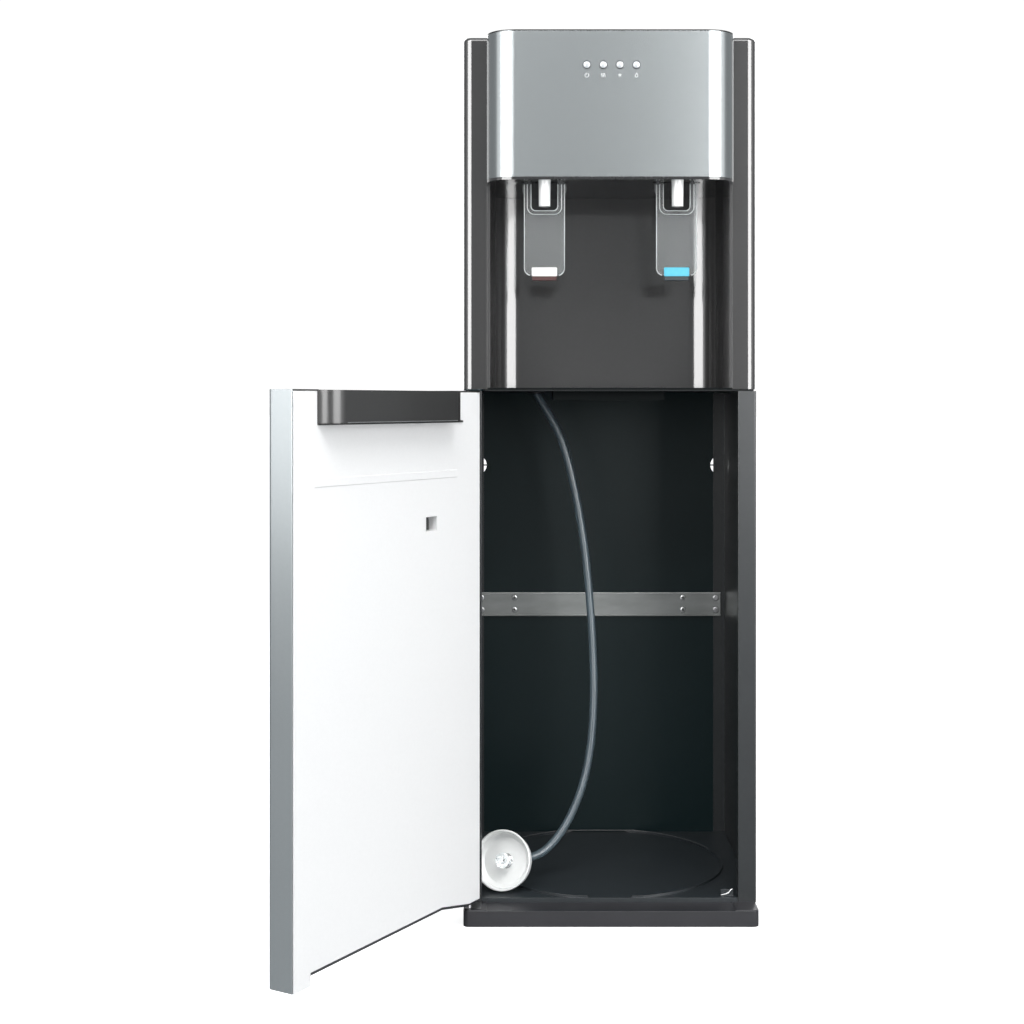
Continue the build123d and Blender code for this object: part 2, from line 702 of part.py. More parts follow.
def lever_pins():
    reach = 29.5
    pins = []
    for x in (-TAP_X, TAP_X):
        pins.append(rod_x(x - reach, x + reach, LEVER_Y, LEVER_AXIS_Z, LEVER_PIN_R))
    return Compound(pins)


def lever_springs():
    """Torsion springs around the pins, between the eyes of each lever."""
    coil_r = 3.2
    wire_r = 0.5
    length = 18.0
    springs = []
    for side in (-1, 1):
        path = Helix(pitch=2.25, height=length, radius=coil_r)
        section = Plane(path @ 0, z_dir=path % 0) * Circle(wire_r)
        coil = sweep(section, path=path, is_frenet=True)
        place = Pos(side * TAP_X - length / 2, LEVER_Y, LEVER_AXIS_Z) * Rot(0, 90, 0)
        springs.append(place * coil)
    return Compound(springs)


# ---- water and cooling parts inside -------------------------------------------------
def tank_shelf():
    """A shelf behind the recess, with its front edge turned up."""
    front = RECESS_BACK + MOULDING + 2
    shelf = block(-SHELF_HALF, SHELF_HALF, front, PANEL_Y, SHELF_LOW, SHELF_TOP)
    return shelf + block(-SHELF_HALF, SHELF_HALF, front, front + 1.5, SHELF_LOW, SHELF_LOW + 12)


def canister(x, low, high, radius, shoulder):
    """A thin-walled tank with a rounded shoulder."""
    tank = post(x, TANK_Y, low, high, radius)
    tank = fillet(tank.edges().group_by(Axis.Z)[-1], shoulder)
    cavity = post(x, TANK_Y, low + TANK_WALL, high - TANK_WALL, radius - TANK_WALL)
    return tank - fillet(cavity.edges().group_by(Axis.Z)[-1], shoulder - TANK_WALL)


def hot_tank():
    """The heated tank, with a neck on its top and an outlet at its front."""
    high = SHELF_TOP + HOT_TANK_HEIGHT
    outlet_z = SHELF_TOP + FEED_RISE
    wall_y = TANK_Y - HOT_TANK_R
    tank = canister(HOT_TANK_X, SHELF_TOP, high, HOT_TANK_R, 12)
    tank += post(HOT_TANK_X, TANK_Y, high, high + 10, 6)
    tank += rod_y(HOT_TANK_X, HOT_OUTLET_Y, wall_y + 1, outlet_z, TUBE_R)
    tank -= post(HOT_TANK_X, TANK_Y, high - 5, high + 11, 4)
    return tank - rod_y(HOT_TANK_X, HOT_OUTLET_Y - 1, wall_y + 5, outlet_z, 2.5)


def cold_tank():
    low = SHELF_TOP + FOAM_FLOOR
    high = low + COLD_TANK_HEIGHT
    tank = canister(COLD_TANK_X, low, high, COLD_TANK_R, 14)
    return tank - post(COLD_TANK_X, TANK_Y, high - 5, high + 1, 2.5)


def cold_tank_foam():
    """The insulating cup around the cold tank."""
    high = SHELF_TOP + 122
    foam = post(COLD_TANK_X, TANK_Y, SHELF_TOP, high, COLD_TANK_R + FOAM_WALL)
    return foam - post(COLD_TANK_X, TANK_Y, SHELF_TOP + FOAM_FLOOR, high + 1, COLD_TANK_R)


def compressor_feet_places():
    """Where the four rubber mounts of the compressor stand."""
    return [(COMPRESSOR_X + dx, COMPRESSOR_Y + dy) for dx in (-56, 56) for dy in (-46, 46)]


def compressor():
    """A welded can with a band at its seam, on a foot plate."""
    x = COMPRESSOR_X
    y = COMPRESSOR_Y
    low = RECESS_FLOOR + MOUNT_HEIGHT
    plate_top = low + 2.5
    shell = post(x, y, plate_top, low + COMPRESSOR_HEIGHT, COMPRESSOR_R)
    shell = fillet(shell.edges().group_by(Axis.Z)[-1], COMPRESSOR_R / 2)
    plate = block(x - 64, x + 64, y - 54, y + 54, low, plate_top)
    band = post(x, y, low + 62, low + 68, COMPRESSOR_R + 2)
    body = shell + plate + band
    for foot_x, foot_y in compressor_feet_places():
        body -= post(foot_x, foot_y, low - 1, plate_top + 1, 4)
    return body


def compressor_mounts():
    low = RECESS_FLOOR
    mounts = []
    for x, y in compressor_feet_places():
        mount = post(x, y, low, low + MOUNT_HEIGHT, 7)
        mount += post(x, y, low + MOUNT_HEIGHT, low + MOUNT_HEIGHT + 5, 4)
        mounts.append(mount)
    return Compound(mounts)


def pump():
    """The pump's head, its motor on top, and the inlet at its front."""
    front = PUMP_Y - PUMP_HALF
    head_top = RECESS_FLOOR + PUMP_HEIGHT
    left = PUMP_X - PUMP_HALF
    right = PUMP_X + PUMP_HALF
    body = block(left, right, front, PUMP_Y + PUMP_HALF, RECESS_FLOOR, head_top)
    body = fillet(body.edges().filter_by(Axis.Z), 6)
    body += post(PUMP_X, PUMP_Y, head_top, head_top + 44, 17)
    return body + rod_y(PUMP_X, front - 10, front, RECESS_FLOOR + PUMP_INLET_RISE, TUBE_R)


def control_box():
    """The mains and relay box, above and in front of the switches."""
    box = block(-132, -28, 114, 144, 732, 790)
    return fillet(box.edges().filter_by(Axis.Y), 4)


def inlet_tube():
    """From the hose gland to the pump."""
    z = RECESS_FLOOR + PUMP_INLET_RISE
    end_y = PUMP_Y - PUMP_HALF - 10
    route = [
        (GLAND_X, GLAND_Y, GLAND_HIGH), (GLAND_X, GLAND_Y, z),
        (PUMP_X, end_y - 10, z), (PUMP_X, end_y, z),
    ]
    return bent_tube(route, TUBE_R, 4.5)


def hot_feed_tube():
    """From the hot tank to its tap."""
    z = SHELF_TOP + FEED_RISE
    end_y = SPOUT_Y + TAP_FEED_Y
    route = [
        (HOT_TANK_X, HOT_OUTLET_Y, z), (HOT_TANK_X, -60, z),
        (-TAP_X, -80, TAP_FEED_Z), (-TAP_X, end_y, TAP_FEED_Z),
    ]
    return bent_tube(route, TUBE_R, 9)


def cold_feed_tube():
    """From the cold tank to its tap."""
    low = SHELF_TOP + FOAM_FLOOR + COLD_TANK_HEIGHT
    high = low + 9
    x = COLD_TANK_X
    end_y = SPOUT_Y + TAP_FEED_Y
    route = [
        (x, TANK_Y, low), (x, TANK_Y, high), (x, -40, high),
        (TAP_X, -62, TAP_FEED_Z), (TAP_X, end_y, TAP_FEED_Z),
    ]
    return bent_tube(route, TUBE_R, 6)


# ---- fittings on the back -----------------------------------------------------------
def switch_bezel():
    front = PANEL_Y - 5
    flange_back = PANEL_BACK + 2
    frame = None
    for grow, near_y, far_y in ((0, front, PANEL_BACK), (2, PANEL_BACK, flange_back)):
        wide = BEZEL_HALF + grow
        tall = BEZEL_HALF_HEIGHT + grow
        plate = block(SWITCH_X - wide, SWITCH_X + wide, near_y, far_y, SWITCH_Z - tall, SWITCH_Z + tall)
        frame = plate if frame is None else frame + plate
    hole_half = 10.0
    hole_tall = 10.6
    for side in (-1, 1):
        x = SWITCH_X + side * SWITCH_PITCH / 2
        near = x - hole_half
        far = x + hole_half
        frame -= block(near, far, front - 1, flange_back + 1, SWITCH_Z - hole_tall, SWITCH_Z + hole_tall)
        frame += rod_x(near - 0.5, far + 0.5, ROCKER_AXIS_Y, SWITCH_Z, ROCKER_PIN_R)
    return frame


def rocker(side):
    """A rocker at rest with its upper half pressed in."""
    x = SWITCH_X + side * SWITCH_PITCH / 2
    tilt = 7.0
    outline = Polyline((-3, -7), (7.4, -9), (5.6, 0), (7.4, 9), (-3, 7), close=True)
    profile = make_face(outline)
    solid = extrude(Plane.YZ * profile, amount=ROCKER_HALF, both=True)
    solid -= rod_x(-2 * ROCKER_HALF, 2 * ROCKER_HALF, 0, 0, ROCKER_PIN_R + RUNNING_FIT)
    solid = solid.rotate(Axis.X, tilt)
    return Pos(x, ROCKER_AXIS_Y, SWITCH_Z) * solid


def cord_inlet_gland():
    front = PANEL_Y - 4
    back = PANEL_BACK + 3
    gland = rod_y(INLET_X, front, PANEL_BACK, INLET_Z, INLET_R)
    gland += rod_y(INLET_X, PANEL_BACK, back, INLET_Z, INLET_R + 2.5)
    return gland - rod_y(INLET_X, front - 1, back + 1, INLET_Z, INLET_BORE_R)


def drain_spout():
    front = PANEL_Y - 20
    pipe = rod_y(DRAIN_X, front, DRAIN_END, DRAIN_Z, DRAIN_R)
    return pipe - rod_y(DRAIN_X, front - 1, DRAIN_END + 1, DRAIN_Z, DRAIN_R - 2)


def drain_cap():
    """A fluted cap that turns on the drain spout."""
    low = PANEL_BACK + 2
    high = low + 12
    cap = rod_y(DRAIN_X, low, high, DRAIN_Z, DRAIN_CAP_R)
    cap = fillet(cap.edges().group_by(Axis.Y)[-1], 1.5)
    cap -= rod_y(DRAIN_X, low - 1, DRAIN_END + 0.4, DRAIN_Z, DRAIN_R + RUNNING_FIT)
    flutes = 12
    flute_r = 1.6
    flute_circle = DRAIN_CAP_R + 0.8
    for index in range(flutes):
        turn = 2 * math.pi * index / flutes
        x = DRAIN_X + flute_circle * math.cos(turn)
        z = DRAIN_Z + flute_circle * math.sin(turn)
        cap -= rod_y(x, low - 1, high + 1, z, flute_r)
    return cap


def condenser_tube():
    """The serpentine pipe, with both ends bent in through the upper back cover."""
    y = CONDENSER_Y
    inside_y = PANEL_Y - 12
    route = [(-PIPE_X, inside_y, PIPE_Z), (-PIPE_X, y, PIPE_Z), (-PIPE_X, y, CONDENSER_LOW)]
    for row in range(CONDENSER_PASSES):
        z = CONDENSER_LOW + row * CONDENSER_PITCH
        start = -CONDENSER_HALF if row % 2 == 0 else CONDENSER_HALF
        if row > 0:
            route.append((start, y, z))
        route.append((-start, y, z))
    route[-1] = (PIPE_X, y, z)
    route += [(PIPE_X, y, PIPE_Z), (PIPE_X, inside_y, PIPE_Z)]
    return bent_tube(route, CONDENSER_TUBE_R, CONDENSER_BEND)


def condenser_wires():
    """Upright wires on both sides of the pipe, which spread its heat."""
    beyond = 8
    low = CONDENSER_LOW - beyond
    high = CONDENSER_LOW + (CONDENSER_PASSES - 1) * CONDENSER_PITCH + beyond
    reach = CONDENSER_HALF - 16
    wires = []
    for index in range(WIRE_COUNT):
        x = (2 * index / (WIRE_COUNT - 1) - 1) * reach
        for side in (-1, 1):
            y = CONDENSER_Y + side * (CONDENSER_TUBE_R + WIRE_R)
            wires.append(post(x, y, low, high, WIRE_R))
    return Compound(wires)


def condenser_brackets():
    """Two straps from the crossbar's screw holes out to the condenser."""
    straps = []
    half = 9.0
    thick = 1.5
    arm_top = CROSSBAR_HIGH + thick
    foot_back = PANEL_BACK + thick
    reach = CONDENSER_Y - CONDENSER_TUBE_R - 2 * WIRE_R
    for x in (-CROSSBAR_BRACKET_X, CROSSBAR_BRACKET_X):
        foot = block(x - half, x + half, PANEL_BACK, foot_back, CROSSBAR_LOW, arm_top)
        arm = block(x - half, x + half, PANEL_BACK, reach, arm_top - thick, arm_top)
        head = block(x - half, x + half, reach - thick, reach, arm_top - thick, arm_top + 20)
        strap = foot + arm + head
        for z in CROSSBAR_HOLES_Z:
            strap += rod_y(x, REAR_FLANGE_Y - CROSSBAR_THICK - 1, foot_back, z, SCREW_R)
            strap += rod_y(x, foot_back, foot_back + 2.2, z, SCREW_HEAD_R)
        straps.append(strap)
    return Compound(straps)


# ---- hose and bottle cap ------------------------------------------------------------
def hose_gland():
    """The collar where the hose goes up through the deck."""
    collar = post(GLAND_X, GLAND_Y, GLAND_LOW, CABINET_TOP, GLAND_R + 3)
    return collar + post(GLAND_X, GLAND_Y, CABINET_TOP, GLAND_HIGH, GLAND_R)


def cap_frame():
    """Plane of the cap's open face; its normal points out of the cap."""
    return Plane(CAP_CENTRE, z_dir=CAP_FACE)


def probe_cap():
    """A shallow cap with a straight skirt, and an elbow for the hose on its back."""
    depth = 13.0
    elbow = 12.0
    profile = Polyline(
        (0, -depth), (27, -depth), (31, -11), (32.2, -1.5), (CAP_R, -0.5), (CAP_R, 0.6),
        (CAP_R - 0.6, 1.2), (CAP_R - 1.6, 1.2), (30.6, 0), (29.4, -8), (25, -10.8), (0, -10.8),
        close=True,
    )
    section = make_face(Plane.XZ * profile)
    dish = revolve(section, axis=Axis.Z, revolution_arc=360)
    dish += Pos(0, 0, -depth - elbow / 2) * Cylinder(9, elbow)
    elbow_end = Vector(*HOSE_ROUTE[-1])
    heading = (elbow_end - Vector(*HOSE_ROUTE[-2])).normalized()
    barb_length = 9.0
    barb = Plane(elbow_end, z_dir=heading) * Pos(0, 0, barb_length / 2) * Cylinder(HOSE_R, barb_length)
    return cap_frame() * dish + barb


def probe_tip():
    """The clear spike that opens the bottle's valve."""
    tip = Pos(0, 0, -5.2) * Cylinder(8.5, 11)
    tip = fillet(tip.edges().group_by(Axis.Z)[-1], 2)
    tip += Pos(0, 0, 4.7) * Cylinder(4.5, 9)
    tip -= Cylinder(2.5, 24)
    return cap_frame() * tip


# ---- door, drawn closed -------------------------------------------------------------
def door_block(u0, u1, v0, v1, z0, z1):
    """A box placed by distance from the hinge edge (u) and from the inner face (v)."""
    return block(DOOR_LEFT + u0, DOOR_LEFT + u1, DOOR_INNER - v1, DOOR_INNER - v0, z0, z1)


def door_skin():
    """The outer sheet, folded back along both sides."""
    seam = 1.6
    body = door_block(0, DOOR_WIDTH, seam, DOOR_THICK, DOOR_LOW, DOOR_HIGH)
    outer = upright_edges(body, DOOR_LEFT, DOOR_OUTER) + upright_edges(body, -DOOR_LEFT, DOOR_OUTER)
    body = fillet(outer, SKIN_CORNER)
    inner_left = DOOR_LEFT + SHEET
    hollow = block(inner_left, -inner_left, SKIN_INNER, DOOR_INNER, DOOR_LOW - 1, DOOR_HIGH + 1)
    inner = upright_edges(hollow, inner_left, SKIN_INNER) + upright_edges(hollow, -inner_left, SKIN_INNER)
    return body - fillet(inner, SKIN_CORNER - SHEET)


def door_inside(z0, z1):
    """The space inside the folded skin."""
    gap = 0.1
    left = DOOR_LEFT + SHEET + gap
    front = SKIN_INNER + gap
    space = block(left, -left, front, DOOR_INNER + 1, z0, z1)
    corners = upright_edges(space, left, front) + upright_edges(space, -left, front)
    return fillet(corners, SKIN_CORNER - SHEET)


def lower_outline(grow):
    """The door's lower inside edge: a foot at the free end, raised in the middle."""
    far = DOOR_WIDTH - FOOT_WIDTH - grow
    raised = DOOR_FOOT_HIGH + grow
    near_foot = DOOR_LOW + 2 + grow
    below = DOOR_LOW - 5
    return [(far, below), (far, raised), (74, raised), (22, near_foot), (-5, near_foot), (-5, below)]


def lower_prism(grow, v0, v1):
    """Prism of the lower outline between two depths."""
    points = [(DOOR_LEFT + u, z) for u, z in lower_outline(grow)]
    face = make_face(Polyline(*points, close=True))
    solid = extrude(Plane.XZ * face, amount=v1 - v0)
    return Pos(0, DOOR_INNER - v0, 0) * solid


def door_liner():
    """The moulded inner panel: an edge lip, a rib, the catch's slot and a foot."""
    edge = 1.6
    lip = door_block(0.7, DOOR_WIDTH - 0.7, 0, 1.2, DOOR_LOW, DOOR_HIGH - DOOR_CAP_THICK)
    body = door_block(edge, DOOR_WIDTH - edge, 1.2, 3, DOOR_LOW, DOOR_HIGH - DOOR_CAP_THICK)
    liner = lip + body
    foot_near = DOOR_WIDTH - FOOT_WIDTH + 2
    liner += door_block(foot_near, DOOR_WIDTH - edge, 3, 26, DOOR_LOW, DOOR_FOOT_HIGH)
    liner -= lower_prism(0, -1, DOOR_THICK)
    liner -= door_block(HANDLE_NEAR, HANDLE_FAR, -1, 5, HANDLE_LOW, DOOR_HIGH)
    near, far, low, high = LATCH_SLOT
    liner += door_block(near - 2, far + 2, 3, 12, low - 2, high + 2)
    liner -= door_block(near, far, -1, 10.5, low, high)
    rib = door_block(46, 290, -0.8, 0.5, 484, 492)
    rib = fillet(rib.edges().group_by(Axis.Y)[-1], 0.7)
    return liner + rib


def handle_tub(inset, high):
    """The finger pocket's outline with its two bulging corners rounded."""
    near = HANDLE_NEAR + inset
    far = HANDLE_FAR - inset
    bulge = HANDLE_BULGE - inset
    tub = door_block(near, far, -bulge, HANDLE_DEPTH - inset, HANDLE_LOW + inset, high)
    face_y = DOOR_INNER + bulge
    corners = upright_edges(tub, DOOR_LEFT + near, face_y) + upright_edges(tub, DOOR_LEFT + far, face_y)
    return fillet(corners, HANDLE_CORNER - inset)


def door_handle_pocket():
    """A finger pocket that opens upwards, between the skin's top edge and the cabinet."""
    tub = handle_tub(0, DOOR_HIGH)
    proud = HANDLE_BULGE + 1
    clear_of_deck = DOOR_HIGH - 0.6
    tub -= door_block(HANDLE_NEAR - 1, HANDLE_FAR + 1, -proud, -0.1, clear_of_deck, DOOR_HIGH + 1)
    lip = door_block(HANDLE_NEAR - 20, HANDLE_FAR, -1.6, 0, HANDLE_LOW - 1.6, HANDLE_LOW + 0.6)
    return tub + lip - handle_tub(HANDLE_WALL, DOOR_HIGH + 1)


def door_top_cap():
    """Closes the door's top around the finger pocket; its block holds the upper pin."""
    low = DOOR_HIGH - DOOR_CAP_THICK
    cap = door_block(1.4, DOOR_WIDTH - 1.4, 0, DOOR_THICK, low, DOOR_HIGH)
    cap += door_block(1.6, 26, 3.2, DOOR_THICK, low - 18, low)
    cap += door_block(DOOR_WIDTH - 26, DOOR_WIDTH - 1.6, 3.2, DOOR_THICK, low - 10, low)
    gap = 0.1
    pocket_back = HANDLE_DEPTH + gap
    cap -= door_block(HANDLE_NEAR - gap, HANDLE_FAR + gap, -1, pocket_back, low - 20, DOOR_HIGH + 1)
    cap &= door_inside(low - 20, DOOR_HIGH)
    return cap - post(PIVOT_X, PIVOT_Y, UPPER_PIN_LOW - 1, DOOR_HIGH + 1, PIN_R + RUNNING_FIT)


def door_bottom_cap():
    """A strip under the liner's lower edge; its block holds the lower pin."""
    cap = lower_prism(-0.1, 0, DOOR_THICK) - lower_prism(-2.6, -1, DOOR_THICK + 1)
    cap += door_block(1.6, 22, 3.2, DOOR_THICK, DOOR_LOW + 0.5, 42)
    cap &= door_inside(DOOR_LOW, 60)
    return cap - post(PIVOT_X, PIVOT_Y, 0, LOWER_PIN_HIGH + 1, PIN_R + RUNNING_FIT)


def door_magnet():
    """The strip magnet that holds the door shut, behind the liner's free edge."""
    return door_block(DOOR_WIDTH - 16, DOOR_WIDTH - 6, 3, 7, 250, 350)


def swung_open(shape):
    """Turn a piece of the closed door to the open stop."""
    return shape.rotate(PIVOT, -DOOR_OPEN)


# ---- write every sub-part -----------------------------------------------------------
def main():
    os.makedirs("parts", exist_ok=True)
    hose, hose_length = tube(HOSE_ROUTE, HOSE_R)
    print("hose radii", [round(r, 1) for r in arc_radii(HOSE_ROUTE)])
    print("hose length", round(hose_length, 1))
    print("hose volume over section times length", hose.volume / (math.pi * HOSE_R**2 * hose_length))

    nodes = {
        "base_plinth": base_plinth(),
        "rubber_feet": rubber_feet(),
        "floor_tray": floor_tray(),
        "side_panel_right": side_panel(),
        "side_panel_left": mirrored(side_panel()),
        "lower_back_panel": lower_back_panel(),
        "rear_crossbar": rear_crossbar(),
        "crossbar_screws": crossbar_screws(),
        "lower_hinge_bracket": lower_hinge_bracket(),
        "upper_hinge_bracket": upper_hinge_bracket(),
        "deck_plate": deck_plate(),
        "upper_base": upper_base(),
        "drip_tray": drip_tray(),
        "drip_grille": drip_grille(),
        "upper_shell_right": upper_shell(),
        "upper_shell_left": mirrored(upper_shell()),
        "fascia": fascia(),
        "top_cover": top_cover(),
        "ceiling_panel": ceiling_panel(),
        "recess_liner": recess_liner(),
        "upper_back_cover": upper_back_cover(),
        "indicator_lenses": indicator_lenses(),
        "indicator_board": indicator_board(),
        "spouts": Compound([spout(-TAP_X), spout(TAP_X)]),
        "tap_bodies": Compound([tap_body(-TAP_X), tap_body(TAP_X)]),
        "hot_lever": lever(-TAP_X),
        "cold_lever": lever(TAP_X),
        "hot_lever_label": lever_label(-TAP_X),
        "cold_lever_label": lever_label(TAP_X),
        "lever_pins": lever_pins(),
        "lever_springs": lever_springs(),
        "tank_shelf": tank_shelf(),
        "hot_tank": hot_tank(),
        "cold_tank": cold_tank(),
        "cold_tank_foam": cold_tank_foam(),
        "compressor": compressor(),
        "compressor_mounts": compressor_mounts(),
        "pump": pump(),
        "control_box": control_box(),
        "water_tubes": Compound([inlet_tube(), hot_feed_tube(), cold_feed_tube()]),
        "switch_bezel": switch_bezel(),
        "hot_switch_rocker": rocker(-1),
        "cold_switch_rocker": rocker(1),
        "cord_inlet_gland": cord_inlet_gland(),
        "drain_spout": drain_spout(),
        "drain_cap": drain_cap(),
        "condenser_tube": condenser_tube(),
        "condenser_wires": condenser_wires(),
        "condenser_brackets": condenser_brackets(),
        "hose_gland": hose_gland(),
        "hose": hose,
        "probe_cap": probe_cap(),
        "probe_tip": probe_tip(),
    }
    door_nodes = {
        "door_skin": door_skin(),
        "door_liner": door_liner(),
        "door_handle_pocket": door_handle_pocket(),
        "door_top_cap": door_top_cap(),
        "door_bottom_cap": door_bottom_cap(),
        "door_magnet": door_magnet(),
    }
    for node, shape in door_nodes.items():
        nodes[node] = swung_open(shape)
    for node, shape in nodes.items():
        write(node, shape)


main()
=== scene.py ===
import json
import math

import bpy
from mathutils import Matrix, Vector


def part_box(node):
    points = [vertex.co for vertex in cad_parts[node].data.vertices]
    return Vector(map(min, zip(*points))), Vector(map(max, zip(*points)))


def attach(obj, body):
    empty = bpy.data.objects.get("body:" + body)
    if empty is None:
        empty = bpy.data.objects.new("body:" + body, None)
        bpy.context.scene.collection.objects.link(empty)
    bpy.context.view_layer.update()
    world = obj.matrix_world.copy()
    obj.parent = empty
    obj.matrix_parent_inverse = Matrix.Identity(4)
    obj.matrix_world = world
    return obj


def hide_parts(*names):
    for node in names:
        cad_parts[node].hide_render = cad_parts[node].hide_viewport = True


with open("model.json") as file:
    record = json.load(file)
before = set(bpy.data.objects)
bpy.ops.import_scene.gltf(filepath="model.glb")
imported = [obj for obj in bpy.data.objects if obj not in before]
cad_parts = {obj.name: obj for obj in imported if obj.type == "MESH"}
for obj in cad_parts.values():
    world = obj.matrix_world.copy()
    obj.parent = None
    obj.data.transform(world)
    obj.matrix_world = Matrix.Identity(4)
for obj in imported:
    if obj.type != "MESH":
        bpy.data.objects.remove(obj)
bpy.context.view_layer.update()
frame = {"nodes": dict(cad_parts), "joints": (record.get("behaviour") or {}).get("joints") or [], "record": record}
nodes = frame["nodes"]


# ---------------------------------------------------------------- places from the frame
def low(node):
    """Lowest corner of a CAD node, in metres."""
    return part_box(node)[0]


def high(node):
    """Highest corner of a CAD node, in metres."""
    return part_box(node)[1]


def joint(name):
    """A joint of the record by its name."""
    return next(j for j in frame["joints"] if j["name"] == name)


FRAME_Y = low("side_panel_right").y          # plane of the cabinet's front flanges
HINGE = Vector(joint("door_hinge")["pos_m"])
DOOR_OPEN = math.radians(joint("door_hinge")["range_deg"][1])
DOOR_EDGE_X = -0.1595        # the closed door's hinge edge
DOOR_INNER_Y = FRAME_Y - 0.002    # the closed door's inner face

# ---------------------------------------------------------------- camera
CAMERA_LEFT = 0.0915         # the camera stands this far left of the object's middle
CAMERA_BACK = 1.730          # in front of the cabinet's front plane
CAMERA_HEIGHT = 0.5635
SENSOR_WIDTH = 36            # this and the lens are in millimetres
LENS = 55.69
LENS_SHIFT = (-0.0137, -0.1074)   # keeps the upright edges upright
SCENE_REACH = 60
camera_data = bpy.data.cameras.new("camera")
camera = bpy.data.objects.new("camera", camera_data)
bpy.context.scene.collection.objects.link(camera)
camera.location = (-CAMERA_LEFT, FRAME_Y - CAMERA_BACK, CAMERA_HEIGHT)
camera.rotation_euler = (math.radians(90), 0, 0)
camera_data.sensor_width = SENSOR_WIDTH
camera_data.lens = LENS
camera_data.shift_x, camera_data.shift_y = LENS_SHIFT
camera_data.clip_end = SCENE_REACH
camera_data.dof.use_dof = False
bpy.context.scene.camera = camera

# ---------------------------------------------------------------- the hose
TUBE_STEPS = 16
TUBE_ROUNDNESS = 8
HOSE_RADIUS = 0.0045
HOSE_ROUTE = [
    (-0.079, 0.029, 0.5735),
    (-0.0675, 0.029, 0.5545),
    (-0.049, 0.028, 0.521),
    (-0.0355, 0.024, 0.470),
    (-0.022, 0.017, 0.395),
    (-0.014, 0.007, 0.300),
    (-0.0115, -0.005, 0.215),
    (-0.019, -0.017, 0.140),
    (-0.039, -0.030, 0.087),
    (-0.066, -0.043, 0.052),
    (-0.093, -0.056, 0.0445),
    (-0.108, -0.070, 0.0495),
]


def nurbs_tube(name, route, radius):
    """One open NURBS spline with the route's points as control points, as a round tube.

    The radius stands on the points, because a curve's bounds are padded by their radius.
    """
    curve = bpy.data.curves.new(name, "CURVE")
    curve.dimensions = "3D"
    spline = curve.splines.new("NURBS")
    spline.points.add(len(route) - 1)
    for point, place in zip(spline.points, route):
        point.co = (*place, 1)
        point.radius = radius
    spline.order_u = 3
    spline.use_endpoint_u = True
    spline.resolution_u = TUBE_STEPS
    curve.bevel_depth = 1
    curve.bevel_resolution = TUBE_ROUNDNESS
    curve.use_fill_caps = True
    piece = bpy.data.objects.new(name, curve)
    bpy.context.scene.collection.objects.link(piece)
    return piece


hose = nurbs_tube("suction_hose", HOSE_ROUTE, HOSE_RADIUS)
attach(hose, "cabinet")
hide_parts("hose")


# ---------------------------------------------------------------- materials
EDGE_SOFTNESS = 0.0006
EDGE_SAMPLES = 4
BUMP_DEPTH = 0.0002
COAT_ROUGHNESS = 0.05
CLEAR_GRAIN = 160            # scale of the roughness noise of the clear plastics
MIX_FROM, MIX_TO = 0.25, 0.75     # the stretch of a noise over which two colours blend


def new_material(name):
    """A material with nodes, its tree and its main shader."""
    material = bpy.data.materials.new(name)
    material.use_nodes = True
    tree = material.node_tree
    return material, tree, tree.nodes["Principled BSDF"]


def noise(tree, scale, detail=4, stretch=(1, 1, 1)):
    """Noise in the object's own metres; a larger stretch is finer along that axis."""
    place = tree.nodes.new("ShaderNodeTexCoord")
    mapping = tree.nodes.new("ShaderNodeMapping")
    mapping.inputs["Scale"].default_value = stretch
    texture = tree.nodes.new("ShaderNodeTexNoise")
    texture.inputs["Scale"].default_value = scale
    texture.inputs["Detail"].default_value = detail
    tree.links.new(place.outputs["Object"], mapping.inputs["Vector"])
    tree.links.new(mapping.outputs["Vector"], texture.inputs["Vector"])
    return texture.outputs["Fac"]


def spread(tree, source, low_value, high_value):
    """Map a 0 to 1 value smoothly to a range."""
    ramp = tree.nodes.new("ShaderNodeMapRange")
    ramp.interpolation_type = "SMOOTHSTEP"
    ramp.inputs["To Min"].default_value = low_value
    ramp.inputs["To Max"].default_value = high_value
    tree.links.new(source, ramp.inputs["Value"])
    return ramp.outputs["Result"]


def tinted(tree, source, dark, light):
    """Mix two colours by a 0 to 1 value."""
    ramp = tree.nodes.new("ShaderNodeValToRGB")
    ends = zip(ramp.color_ramp.elements, (MIX_FROM, MIX_TO), (dark, light))
    for element, position, colour in ends:
        element.position = position
        element.color = (*colour, 1)
    tree.links.new(source, ramp.inputs["Fac"])
    return ramp.outputs["Color"]


def surfaced(tree, shader, source, strength):
    """Soften the shading of sharp edges, and add a fine bump."""
    bevel = tree.nodes.new("ShaderNodeBevel")
    bevel.samples = EDGE_SAMPLES
    bevel.inputs["Radius"].default_value = EDGE_SOFTNESS
    bump = tree.nodes.new("ShaderNodeBump")
    bump.inputs["Strength"].default_value = strength
    bump.inputs["Distance"].default_value = BUMP_DEPTH
    tree.links.new(source, bump.inputs["Height"])
    tree.links.new(bevel.outputs["Normal"], bump.inputs["Normal"])
    tree.links.new(bump.outputs["Normal"], shader.inputs["Normal"])


def solid(name, dark, light, rough, metallic=0.0, grain=300, bump=0.01, bump_scale=2500, coat=0.0,
          stretch=(1, 1, 1), specular=0.5, cloud_scale=14):
    """An opaque finish: colour and roughness vary a little, under a fine bump."""
    material, tree, shader = new_material(name)
    cloud = noise(tree, grain, 5, stretch)
    tree.links.new(tinted(tree, cloud, dark, light), shader.inputs["Base Color"])
    tree.links.new(spread(tree, noise(tree, cloud_scale, 2), *rough), shader.inputs["Roughness"])
    shader.inputs["Metallic"].default_value = metallic
    shader.inputs["Coat Weight"].default_value = coat
    shader.inputs["Coat Roughness"].default_value = COAT_ROUGHNESS
    shader.inputs["Specular IOR Level"].default_value = specular
    surfaced(tree, shader, noise(tree, bump_scale, 3, stretch), bump)
    return material


